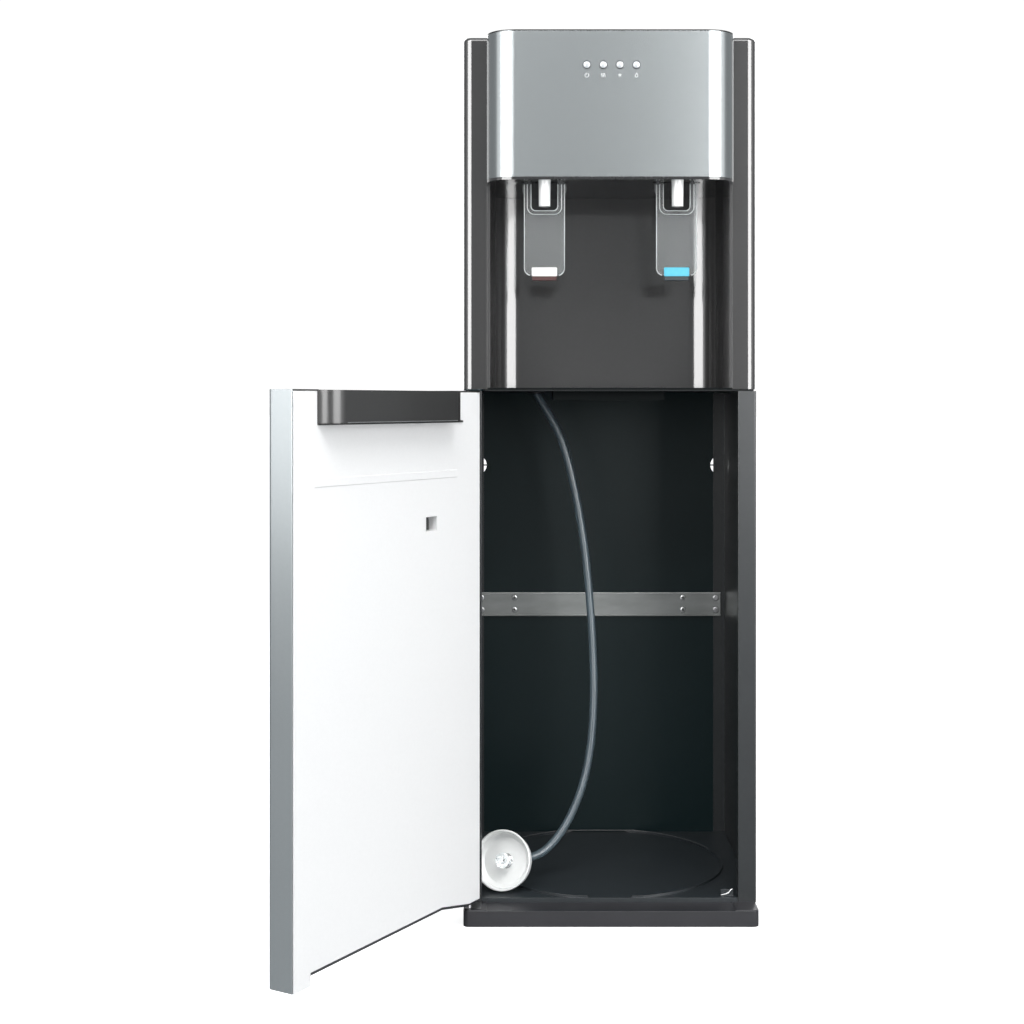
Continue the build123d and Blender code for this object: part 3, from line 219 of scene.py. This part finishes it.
def clear(name, colour, rough, transmission=1.0, ior=1.49):
    """A clear or milky plastic, whose roughness varies a little."""
    material, tree, shader = new_material(name)
    shader.inputs["Base Color"].default_value = (*colour, 1)
    tree.links.new(spread(tree, noise(tree, CLEAR_GRAIN, 2), *rough), shader.inputs["Roughness"])
    shader.inputs["Transmission Weight"].default_value = transmission
    shader.inputs["IOR"].default_value = ior
    return material


gloss_grey = solid("gloss_grey", (0.060, 0.059, 0.059), (0.064, 0.063, 0.063), (0.13, 0.15),
                   metallic=0.5, coat=0.7)
recess_grey = solid("recess_grey", (0.074, 0.073, 0.073), (0.078, 0.077, 0.077), (0.13, 0.15),
                    metallic=0.35, coat=0.5)
gloss_black = solid("gloss_black", (0.022, 0.022, 0.023), (0.026, 0.026, 0.027), (0.10, 0.13),
                    coat=0.7)
pocket_black = solid("pocket_black", (0.050, 0.050, 0.050), (0.054, 0.054, 0.054), (0.27, 0.31),
                     metallic=0.3, coat=0.1)
satin_black = solid("satin_black", (0.021, 0.021, 0.025), (0.024, 0.024, 0.028), (0.38, 0.44),
                    bump=0.10)
top_black = solid("top_black", (0.010, 0.010, 0.011), (0.012, 0.012, 0.013), (0.30, 0.36), bump=0.06)
deck_black = solid("deck_black", (0.007, 0.009, 0.010), (0.009, 0.011, 0.012), (0.5, 0.6), bump=0.1,
                   specular=0.15)
cabinet_paint = solid("cabinet_paint", (0.0022, 0.0120, 0.0140), (0.0030, 0.0135, 0.0155), (0.34, 0.37),
                      bump=0.02, specular=0.22)
# A lighter copy of the cabinet paint for the side panels: painted light on their front flanges.
panel_paint_painted_light = solid("panel_paint_painted_light", (0.021, 0.024, 0.026), (0.024, 0.027, 0.029), (0.30, 0.34),
                    bump=0.03)
# Nearly black with little specular, for the upper base: painted shade in the neck under the upper body.
neck_painted_shade = solid("neck_painted_shade", (0.0020, 0.0035, 0.0040), (0.0028, 0.0045, 0.0050), (0.55, 0.65),
                     specular=0.05)
floor_plastic = solid("floor_plastic", (0.018, 0.023, 0.027), (0.021, 0.026, 0.030), (0.34, 0.40),
                      bump=0.08)
fascia_silver = solid("fascia_silver", (0.280, 0.298, 0.303), (0.287, 0.305, 0.310), (0.225, 0.23),
                      metallic=0.95, bump=0.0005)
door_silver = solid("door_silver", (0.405, 0.433, 0.443), (0.418, 0.446, 0.456), (0.275, 0.285),
                    metallic=0.95, bump=0.0005)
liner_white = solid("liner_white", (0.86, 0.86, 0.86), (0.88, 0.88, 0.88), (0.42, 0.46), bump=0.03)
white_plastic = solid("white_plastic", (0.89, 0.90, 0.89), (0.91, 0.92, 0.91), (0.24, 0.28), bump=0.02)
zinc = solid("zinc_sheet", (0.17, 0.178, 0.174), (0.23, 0.238, 0.234), (0.38, 0.44),
             metallic=1.0, grain=22, stretch=(1, 1, 3))
# Bright zinc for the floor clip's wire, also used for painted highlights along the crossbar's edges and round its
# holes.
bright_zinc_and_glint = solid("bright_zinc_and_glint", (0.60, 0.61, 0.61), (0.68, 0.69, 0.69), (0.25, 0.32), metallic=0.7)
screw_steel = solid("screw_steel", (0.36, 0.36, 0.37), (0.48, 0.48, 0.49), (0.28, 0.36), metallic=1.0)
stainless = solid("stainless", (0.50, 0.50, 0.51), (0.60, 0.60, 0.61), (0.22, 0.30),
                  metallic=1.0, grain=400, stretch=(0.05, 1, 1))
rubber = solid("rubber", (0.02, 0.02, 0.02), (0.03, 0.03, 0.03), (0.7, 0.8), bump=0.3)
foam = solid("foam", (0.80, 0.80, 0.77), (0.88, 0.88, 0.85), (0.75, 0.9), bump=0.6, bump_scale=400)
enamel = solid("black_enamel", (0.012, 0.012, 0.012), (0.020, 0.020, 0.020), (0.22, 0.3), bump=0.1)
circuit = solid("circuit_board", (0.02, 0.14, 0.05), (0.04, 0.22, 0.09), (0.35, 0.45))
label_white = solid("label_white", (0.90, 0.86, 0.86), (0.93, 0.89, 0.89), (0.28, 0.32))
label_red = solid("label_red", (0.040, 0.004, 0.003), (0.048, 0.005, 0.004), (0.3, 0.36))
label_cyan = solid("label_cyan", (0.07, 0.48, 0.66), (0.09, 0.52, 0.70), (0.28, 0.32))
label_blue = solid("label_blue", (0.001, 0.010, 0.016), (0.002, 0.012, 0.019), (0.3, 0.36))
rocker_red = solid("rocker_red", (0.45, 0.02, 0.02), (0.55, 0.03, 0.03), (0.25, 0.3))
rocker_green = solid("rocker_green", (0.02, 0.25, 0.06), (0.03, 0.32, 0.08), (0.25, 0.3))
print_white = solid("print_white", (0.85, 0.86, 0.86), (0.90, 0.91, 0.91), (0.35, 0.42))
lamp_dome = solid("lamp_dome", (0.54, 0.57, 0.59), (0.60, 0.63, 0.65), (0.10, 0.14), coat=1.0)
lamp_ring = solid("lamp_ring", (0.045, 0.048, 0.05), (0.06, 0.063, 0.066), (0.25, 0.3), metallic=0.8)
# Pale grey for the painted highlight under the door's finger pocket.
pocket_highlight_grey = solid("pocket_highlight_grey", (0.20, 0.21, 0.21), (0.24, 0.25, 0.25), (0.3, 0.36))
# A lighter grey for the painted highlight along the bottle ring's top edge.
ring_highlight = solid("ring_highlight", (0.075, 0.078, 0.080), (0.085, 0.088, 0.090), (0.3, 0.36))
clear_plastic = clear("clear_plastic", (0.93, 0.95, 0.96), (0.0, 0.02))
lever_plastic = clear("lever_plastic", (0.80, 0.82, 0.82), (0.03, 0.06), transmission=0.92)
# Pale, nearly opaque plastic for painted glints along the clear levers' edges.
clear_edge_glint = clear("clear_edge_glint", (0.56, 0.58, 0.58), (0.30, 0.38), transmission=0.25)
hose_silicone = clear("hose_silicone", (0.15, 0.20, 0.23), (0.28, 0.30), transmission=0.50,
                      ior=1.41)

# A CAD node's finish goes by its name, or else by its material slot.
BY_SLOT = {
    "base_plastic": satin_black, "foot_rubber": rubber, "cabinet_plastic": floor_plastic,
    "cabinet_paint": cabinet_paint, "zinc_steel": zinc, "screw_steel": screw_steel,
    "gloss_black": gloss_grey, "top_black": top_black, "grille_steel": stainless,
    "silver_fascia": fascia_silver, "silver_door": door_silver, "lens_clear": lamp_dome,
    "board_green": circuit, "white_plastic": white_plastic, "clear_plastic": lever_plastic,
    "probe_clear": clear_plastic, "label_red": label_white, "label_blue": label_cyan,
    "tank_steel": stainless, "foam_white": foam, "compressor_black": enamel,
    "hose_silicone": hose_silicone, "rocker_red": rocker_red, "rocker_green": rocker_green,
    "condenser_black": enamel, "liner_white": liner_white, "pocket_black": pocket_black,
    "magnet_black": rubber,
}
BY_NODE = {
    "recess_liner": recess_grey, "ceiling_panel": gloss_black, "upper_base": neck_painted_shade,
    # side panels: a lighter copy of the cabinet paint, painted light
    "side_panel_left": panel_paint_painted_light, "side_panel_right": panel_paint_painted_light,
    "deck_plate": deck_black, "drip_tray": gloss_black, "control_box": deck_black,
}


def dress(piece, material):
    """Give a piece one material."""
    piece.data.materials.clear()
    piece.data.materials.append(material)
    return piece


slot_of = {s["node"]: s["material_slot"] for s in frame["record"]["subparts"]}
for name, node in nodes.items():
    material = BY_NODE.get(name, BY_SLOT[slot_of[name]])
    if not node.material_slots:
        node.data.materials.append(material)
    for material_slot in node.material_slots:
        material_slot.material = material
dress(hose, hose_silicone)


# ---------------------------------------------------------------- pieces made here
LINE_ROUNDNESS = 3
TURN_STEPS = 48
CORNER_STEPS = 6
BEND_STEPS = 8
FORWARD = Vector((0, -1, 0))


def finish_piece(piece, body, material):
    """Link a new piece, let it ride on a body and give it its finish."""
    bpy.context.scene.collection.objects.link(piece)
    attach(piece, body)
    return dress(piece, material)


def mesh_piece(name, verts, faces, body, material, smooth=False):
    """A new mesh piece on a body."""
    mesh = bpy.data.meshes.new(name)
    mesh.from_pydata(verts, [], faces)
    mesh.validate()
    mesh.update()
    for polygon in mesh.polygons:
        polygon.use_smooth = smooth
    return finish_piece(bpy.data.objects.new(name, mesh), body, material)


def line(name, strokes, radius, body, material):
    """Thin round bars along the given strokes, as one piece."""
    curve = bpy.data.curves.new(name, "CURVE")
    curve.dimensions = "3D"
    for stroke in strokes:
        spline = curve.splines.new("POLY")
        spline.points.add(len(stroke) - 1)
        for point, place in zip(spline.points, stroke):
            point.co = (*place, 1)
            point.radius = radius
        spline.use_smooth = True
    curve.bevel_depth = 1
    curve.bevel_resolution = LINE_ROUNDNESS
    curve.use_fill_caps = True
    finish_piece(bpy.data.objects.new(name, curve), body, material)


def turned(name, profile, centres, body, material):
    """Surfaces of revolution: the profile's (radius, height) pairs turned about the forward axis."""
    steps = TURN_STEPS
    side = FORWARD.orthogonal().normalized()
    other = FORWARD.cross(side)
    verts = []
    faces = []
    for centre in centres:
        first = len(verts)
        for radius, height in profile:
            for step in range(steps):
                turn = 2 * math.pi * step / steps
                ring = side * math.cos(turn) + other * math.sin(turn)
                verts.append(Vector(centre) + FORWARD * height + ring * radius)
        for row in range(len(profile) - 1):
            for step in range(steps):
                here = first + row * steps + step
                beside = first + row * steps + (step + 1) % steps
                faces.append((here, beside, beside + steps, here + steps))
    return mesh_piece(name, verts, faces, body, material, smooth=True)


def arc(centre, radius, start, end, count):
    """Pairs on an arc about a centre, by angle in degrees from the first axis."""
    x, z = centre
    points = []
    for index in range(count + 1):
        angle = math.radians(start + (end - start) * index / count)
        points.append((x + radius * math.cos(angle), z + radius * math.sin(angle)))
    return points


def at_depth(points, y):
    """Place XZ points at one depth."""
    return [(x, y, z) for x, z in points]


def u_outline(x, half, z_low, z_high, corner):
    """A U with rounded lower corners, from its left top to its right top."""
    left = arc((x - half + corner, z_low + corner), corner, 180, 270, BEND_STEPS)
    right = arc((x + half - corner, z_low + corner), corner, 270, 360, BEND_STEPS)
    return [(x - half, z_high)] + left + right + [(x + half, z_high)]


def rounded_plate(name, span_x, span_z, corner, span_y, edge, body, material):
    """An upright plate with rounded corners and a softened front edge."""
    front, back = span_y
    verts = []
    for inset, y in ((edge, front), (0, front + edge), (0, back)):
        x0, x1 = span_x[0] + inset, span_x[1] - inset
        z0, z1 = span_z[0] + inset, span_z[1] - inset
        r = corner - inset
        left, right, bottom, top = x0 + r, x1 - r, z0 + r, z1 - r
        corners = ((left, bottom, 180), (right, bottom, 270), (right, top, 0), (left, top, 90))
        for x, z, start in corners:
            verts += at_depth(arc((x, z), r, start, start + 90, CORNER_STEPS), y)
    count = len(verts) // 3
    faces = [list(range(count)), list(range(3 * count - 1, 2 * count - 1, -1))]
    for row in (0, count):
        for index in range(count):
            beside = (index + 1) % count
            faces.append((row + index, row + beside, row + count + beside, row + count + index))
    return mesh_piece(name, verts, faces, body, material)


def at_door(u, v, z):
    """A place on the open door: distance from its hinge edge, depth behind its inner face, height."""
    closed = Vector((DOOR_EDGE_X + u, DOOR_INNER_Y - v, z)) - Vector((HINGE.x, HINGE.y, 0))
    turn = -DOOR_OPEN
    x = HINGE.x + closed.x * math.cos(turn) - closed.y * math.sin(turn)
    y = HINGE.y + closed.x * math.sin(turn) + closed.y * math.cos(turn)
    return Vector((x, y, z))


# ---- indicator lamps and their pictograms
FASCIA_Y = low("fascia").y
LAMP_PITCH = 0.0177
LAMP_Z = (low("indicator_lenses").z + high("indicator_lenses").z) / 2
LAMP_RADIUS = 0.0038
LAMP_RISE = 0.0012
LAMP_STEPS = 8
LAMP_ROOT = 0.003            # how far a dome reaches back into the fascia
RING_GAP = 0.0003
RING_RADIUS = 0.0006
RING_RISE = 0.0001
RING_STEPS = 12
SIGN_DROP = 0.0112           # the pictograms stand this far below the lamps
SIGN_SIZE = 0.0021
SIGN_STROKE = 0.0003
lamp_x = [(index - 1.5) * LAMP_PITCH for index in range(4)]


def lamps():
    """Four white domes, each in a dark metal ring."""
    centres = [(x, FASCIA_Y, LAMP_Z) for x in lamp_x]
    dome = [(LAMP_RADIUS, -LAMP_ROOT)]
    for index in range(LAMP_STEPS + 1):
        angle = math.radians(90 * index / LAMP_STEPS)
        dome.append((LAMP_RADIUS * math.cos(angle), LAMP_RISE * math.sin(angle)))
    domes = turned("lamp_domes", dome, centres, "cabinet", lamp_dome)
    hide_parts("indicator_lenses")
    ring = []
    for index in range(RING_STEPS + 1):
        angle = 2 * math.pi * index / RING_STEPS
        radius = LAMP_RADIUS + RING_GAP + RING_RADIUS * math.cos(angle)
        ring.append((radius, RING_RISE + RING_RADIUS * math.sin(angle)))
    turned("lamp_rings", ring, centres, "cabinet", lamp_ring)


def power_sign(x, z, size):
    """An open ring with a stroke at its top."""
    return [arc((x, z), size, 120, 420, 16), [(x, z + 0.3 * size), (x, z + 1.25 * size)]]


def steam_sign(x, z, size):
    """Three wavy strokes."""
    strokes = []
    for offset in (-0.8, 0, 0.8):
        wave = []
        for index in range(9):
            share = index / 8
            bend = 0.22 * math.sin(2 * math.pi * share)
            wave.append((x + (offset + bend) * size, z + (2 * share - 1) * size))
        strokes.append(wave)
    return strokes


def snow_sign(x, z, size):
    """Three crossed strokes."""
    strokes = []
    for angle in (0, 60, 120):
        dx = size * math.cos(math.radians(angle + 30))
        dz = size * math.sin(math.radians(angle + 30))
        strokes.append([(x - dx, z - dz), (x + dx, z + dz)])
    return strokes


def drop_sign(x, z, size):
    """A pointed drop."""
    belly = arc((x, z - 0.3 * size), 0.7 * size, 145, 395, 14)
    return [[(x, z + 1.2 * size)] + belly + [(x, z + 1.2 * size)]]


def pictograms():
    """Generic signs under the lamps: power, hot, cold and water."""
    strokes = []
    for x, sign in zip(lamp_x, (power_sign, steam_sign, snow_sign, drop_sign)):
        strokes += sign(x, LAMP_Z - SIGN_DROP, SIGN_SIZE)
    flat = [at_depth(stroke, FASCIA_Y) for stroke in strokes]
    line("lamp_pictograms", flat, SIGN_STROKE, "cabinet", print_white)


# ---- pale edges of the clear levers, and their labels
LEVER_HALF = 0.02225
LEVER_CORNER = 0.008
LEVER_THICK = 0.0035
LEVER_LOW = 0.700
RIM_HALF = 0.0185
RIM_PROUD = 0.0012
WINDOW_HALF = 0.014
WINDOW_LOW = 0.771
RIM_HIGH = 0.799
WINDOW_CORNER = 0.005
EDGE_RADIUS = 0.0005
LABEL_DEPTH = 0.001
LABEL_CORNER = 0.0014
LABEL_EDGE = 0.0003
LABEL_HANG = 0.0004          # the label's face ends this far below the paddle
LIP_INSET = 0.0006
LIP_CORNER = 0.0008


def lever_edge_glints(body):
    """Pale frosted lines along the paddle's sides and both sides of its window's rim: painted highlights for the
    edge glints.
    """
    box_low = low(body)
    box_high = high(body)
    x = (box_low.x + box_high.x) / 2
    middle = (box_low.y + box_high.y) / 2
    front = middle - LEVER_THICK / 2 + EDGE_RADIUS
    rim_front = front - RIM_PROUD
    half = LEVER_HALF - EDGE_RADIUS
    z = LEVER_LOW + EDGE_RADIUS + LEVER_CORNER
    strokes = []
    for side, start, end in ((-1, 180, 255), (1, 360, 285)):
        bend = arc((x + side * (half - LEVER_CORNER), z), LEVER_CORNER, start, end, BEND_STEPS)
        strokes.append(at_depth([(x + side * half, RIM_HIGH)] + bend, front))
    outer = u_outline(x, RIM_HALF, WINDOW_LOW - RIM_HALF + WINDOW_HALF, RIM_HIGH, LEVER_CORNER)
    inner = u_outline(x, WINDOW_HALF + EDGE_RADIUS, WINDOW_LOW - EDGE_RADIUS, RIM_HIGH,
                      WINDOW_CORNER)
    strokes += [at_depth(outer, rim_front), at_depth(inner, rim_front)]
    line(body + "_edge_glints", strokes, EDGE_RADIUS, body, clear_edge_glint)


def lever_label(body, face, lip):
    """A rounded face over a darker lip that hangs under the paddle."""
    node = body + "_label"
    box_low = low(node)
    box_high = high(node)
    span_x = (box_low.x, box_high.x)
    span_y = (box_low.y, box_low.y + LABEL_DEPTH)
    span_z = (LEVER_LOW - LABEL_HANG, box_high.z)
    piece = rounded_plate(node + "_face", span_x, span_z, LABEL_CORNER, span_y, LABEL_EDGE,
                          body, face)
    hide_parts(node)
    span_x = (box_low.x + LIP_INSET, box_high.x - LIP_INSET)
    span_y = (box_low.y + LIP_INSET, box_high.y)
    span_z = (box_low.z, LEVER_LOW + LIP_CORNER)
    rounded_plate(node + "_lip", span_x, span_z, LIP_CORNER, span_y, LABEL_EDGE, body, lip)


# ---- small things on the door and in the cabinet
# where the dark plate of painted shade stands in the catch's slot
LATCH_U = (0.0842, 0.1038)
LATCH_Z = (0.4306, 0.4449)
LATCH_V = (0.0102, 0.0105)
# where the painted highlight line under the finger pocket runs
POCKET_HIGHLIGHT_Z = 0.5443
POCKET_HIGHLIGHT_ROUTE = ((0.040, -0.0012), (0.056, -0.0012), (0.076, -0.0204), (0.264, -0.0204))
POCKET_HIGHLIGHT_RADIUS = 0.0004
# the painted highlight lines along the crossbar's edges
CROSSBAR_GLINT_RADIUS = 0.0006
CROSSBAR_GLINT_BACK = 0.0012          # the crossbar's upper edge stands this far before its back
STRAP_DEPTH = 0.0015
STRAP_X = (-0.106, 0.106)
STRAP_Z = (0.302, 0.317)
# profiles of the painted highlight rings round the holes and of the dark discs of painted shade in them
HOLE_HIGHLIGHT = ((0.0034, -0.0001), (0.0034, 0.0003), (0.0016, 0.0003))
HOLE_SHADE = ((0.0016, 0.0), (0.0015, 0.0007), (0.0009, 0.0011), (0.00001, 0.0012))
CLIP_BACK = 0.0078
CLIP_ROUTE = ((0.1225, 0.0228), (0.1275, 0.0236), (0.1310, 0.0256), (0.1335, 0.0288), (0.1352, 0.0292))
CLIP_RADIUS = 0.0006
BOTTLE_RING_RADIUS = 0.1375
BOTTLE_RING_BACK = 0.135     # its centre, behind the cabinet's front plane
BOTTLE_RING_END = 0.2655     # the back panel cuts it off here
BOTTLE_RING_Z = 0.0241
BOTTLE_RING_HIGHLIGHT = 0.0006
BOTTLE_RING_STEPS = 60


def latch_shade_plate():
    """A dark plate at the back of the catch's slot: painted shade that darkens the slot."""
    verts = [at_door(u, v, z) for v in LATCH_V for z in LATCH_Z for u in LATCH_U]
    faces = [(0, 1, 3, 2), (4, 6, 7, 5), (0, 4, 5, 1), (2, 3, 7, 6), (0, 2, 6, 4), (1, 5, 7, 3)]
    mesh_piece("latch_slot_shade", verts, faces, "door", rubber)


def pocket_edge_highlight():
    """A pale line where the finger pocket's bulge meets its lip: a painted highlight on the pocket's rounded lower
    edge.
    """
    stroke = [at_door(u, v, POCKET_HIGHLIGHT_Z) for u, v in POCKET_HIGHLIGHT_ROUTE]
    line("pocket_edge_highlight", [stroke], POCKET_HIGHLIGHT_RADIUS, "door", pocket_highlight_grey)


def crossbar_edge_glints():
    """Bright lines along the crossbar's edges: painted highlights."""
    box_low = low("rear_crossbar")
    box_high = high("rear_crossbar")
    lower = (box_low.y + CROSSBAR_GLINT_RADIUS, box_low.z + CROSSBAR_GLINT_RADIUS)
    upper = (box_high.y - CROSSBAR_GLINT_BACK, box_high.z - CROSSBAR_GLINT_RADIUS)
    strokes = [[(box_low.x, y, z), (box_high.x, y, z)] for y, z in (lower, upper)]
    line("crossbar_edge_glints", strokes, CROSSBAR_GLINT_RADIUS, "cabinet", bright_zinc_and_glint)


def bracket_hole_marks():
    """Bright rings round the holes where the condenser's straps are held, a painted highlight, with dark discs in
    them as painted shade.
    """
    face_y = high("rear_crossbar").y - STRAP_DEPTH
    places = [(x, face_y, z) for x in STRAP_X for z in STRAP_Z]
    turned("bracket_hole_highlights", HOLE_HIGHLIGHT, places, "cabinet", bright_zinc_and_glint)
    turned("bracket_hole_shades", HOLE_SHADE, places, "cabinet", rubber)


def floor_clip():
    """The bent wire of the clip at the right of the floor."""
    stroke = at_depth(CLIP_ROUTE, FRAME_Y + CLIP_BACK)
    line("floor_clip_wire", [stroke], CLIP_RADIUS, "cabinet", bright_zinc_and_glint)


def floor_ring_highlight():
    """A lighter line on the top edge of the back of the ring that the bottle stands in: a painted highlight."""
    stroke = []
    for x, y in arc((0, FRAME_Y + BOTTLE_RING_BACK), BOTTLE_RING_RADIUS, 20, 160, BOTTLE_RING_STEPS):
        stroke.append((x, min(y, FRAME_Y + BOTTLE_RING_END), BOTTLE_RING_Z))
    line("floor_ring_highlight", [stroke], BOTTLE_RING_HIGHLIGHT, "cabinet", ring_highlight)


lamps()
pictograms()
lever_edge_glints("hot_lever")
lever_edge_glints("cold_lever")
lever_label("hot_lever", label_white, label_red)
lever_label("cold_lever", label_cyan, label_blue)
latch_shade_plate()
pocket_edge_highlight()
crossbar_edge_glints()
bracket_hole_marks()
floor_ring_highlight()
floor_clip()


# ---------------------------------------------------------------- stage and light
FLOOR_SEEN = (0.9, 0.9, 0.9, 1)
FLOOR_ROUGHNESS = 0.8
FLOOR_GLOW = 0.72
FLOOR_LIT = (0.42, 0.43, 0.44, 1)
WORLD_SEEN = ((1, 1, 1, 1), 1.05)
WORLD_LIT = ((0.95, 0.98, 1.0, 1), 0.55)
WALL_DISTANCE = 2.6
OBJECT_MIDDLE_Y = -0.1


def shown_to_camera(tree, seen, other, output):
    """Show one shader to the camera and another to everything else."""
    path = tree.nodes.new("ShaderNodeLightPath")
    mix = tree.nodes.new("ShaderNodeMixShader")
    tree.links.new(path.outputs["Is Camera Ray"], mix.inputs["Fac"])
    tree.links.new(other, mix.inputs[1])
    tree.links.new(seen, mix.inputs[2])
    tree.links.new(mix.outputs["Shader"], output.inputs["Surface"])


def stage_floor():
    """A pale floor, white to the camera but for the object's soft shadow."""
    mesh = bpy.data.meshes.new("studio_floor")
    reach = SCENE_REACH
    corners = [(-reach, -reach, 0), (reach, -reach, 0), (reach, reach, 0), (-reach, reach, 0)]
    mesh.from_pydata(corners, [], [(0, 1, 2, 3)])
    floor = bpy.data.objects.new("studio_floor", mesh)
    bpy.context.scene.collection.objects.link(floor)
    material, tree, shader = new_material("studio_floor")
    shader.inputs["Base Color"].default_value = FLOOR_SEEN
    shader.inputs["Roughness"].default_value = FLOOR_ROUGHNESS
    shader.inputs["Emission Color"].default_value = (1, 1, 1, 1)
    shader.inputs["Emission Strength"].default_value = FLOOR_GLOW
    plain = tree.nodes.new("ShaderNodeBsdfDiffuse")
    plain.inputs["Color"].default_value = FLOOR_LIT
    output = tree.nodes["Material Output"]
    shown_to_camera(tree, shader.outputs["BSDF"], plain.outputs["BSDF"], output)
    dress(floor, material)


def softbox(name, place, target, width, height, radiance, gloss_only=False, matt_only=False):
    """A rectangular area light that faces a point; its power follows from its radiance.

    matt_only hides it from reflection rays, but flat glossy faces can still show its direct light.
    """
    data = bpy.data.lights.new(name, "AREA")
    data.shape = "RECTANGLE"
    data.size = width
    data.size_y = height
    data.energy = radiance * math.pi * width * height
    light = bpy.data.objects.new(name, data)
    bpy.context.scene.collection.objects.link(light)
    light.location = place
    aim = Vector(target) - Vector(place)
    light.rotation_euler = aim.to_track_quat("-Z", "Y").to_euler()
    light.visible_camera = False
    light.visible_diffuse = not gloss_only
    light.visible_glossy = not matt_only


def gloss_wall(name, azimuth, half_angle, low_z, high_z, radiance):
    """A tall light that only gloss sees, centred at an azimuth from the front (left is negative)."""
    turn = math.radians(azimuth)
    middle = (low_z + high_z) / 2
    place = (WALL_DISTANCE * math.sin(turn), OBJECT_MIDDLE_Y - WALL_DISTANCE * math.cos(turn), middle)
    target = (0, OBJECT_MIDDLE_Y, middle)
    width = 2 * WALL_DISTANCE * math.tan(math.radians(half_angle))
    softbox(name, place, target, width, high_z - low_z, radiance, gloss_only=True)


def studio_world():
    """White to the camera, and a calmer pale grey to everything else."""
    world = bpy.data.worlds.new("studio")
    world.use_nodes = True
    tree = world.node_tree
    tree.nodes.clear()
    lights = []
    for colour, strength in (WORLD_SEEN, WORLD_LIT):
        background = tree.nodes.new("ShaderNodeBackground")
        background.inputs["Color"].default_value = colour
        background.inputs["Strength"].default_value = strength
        lights.append(background.outputs["Background"])
    shown_to_camera(tree, *lights, tree.nodes.new("ShaderNodeOutputWorld"))
    bpy.context.scene.world = world


stage_floor()
studio_world()
# place, target, width, height, radiance
softbox("top_front", (0, -1.8, 2.6), (0, 0, 0.5), 2.4, 1.4, 5.5)
softbox("door_fill", (2.3, -1.5, 0.8), (-0.25, -0.25, 0.35), 1.6, 1.6, 4.6, matt_only=True)
softbox("cap_fill", (-0.95, -2.2, 0.7), (-0.1, -0.1, 0.3), 0.7, 1.0, 2.6, matt_only=True)
# azimuth, half angle, lower end, upper end, radiance
for side, word in ((-1, "left"), (1, "right")):
    gloss_wall(word + "_bright", side * 35, 20, 0.35, 3.2, 11.0)
    gloss_wall(word + "_soft", side * 66, 12, 0.30, 3.2, 1.3)
    gloss_wall(word + "_rim", side * 158, 8, 0.2, 2.8, 5.0)
bpy.context.scene.view_settings.view_transform = "Standard"
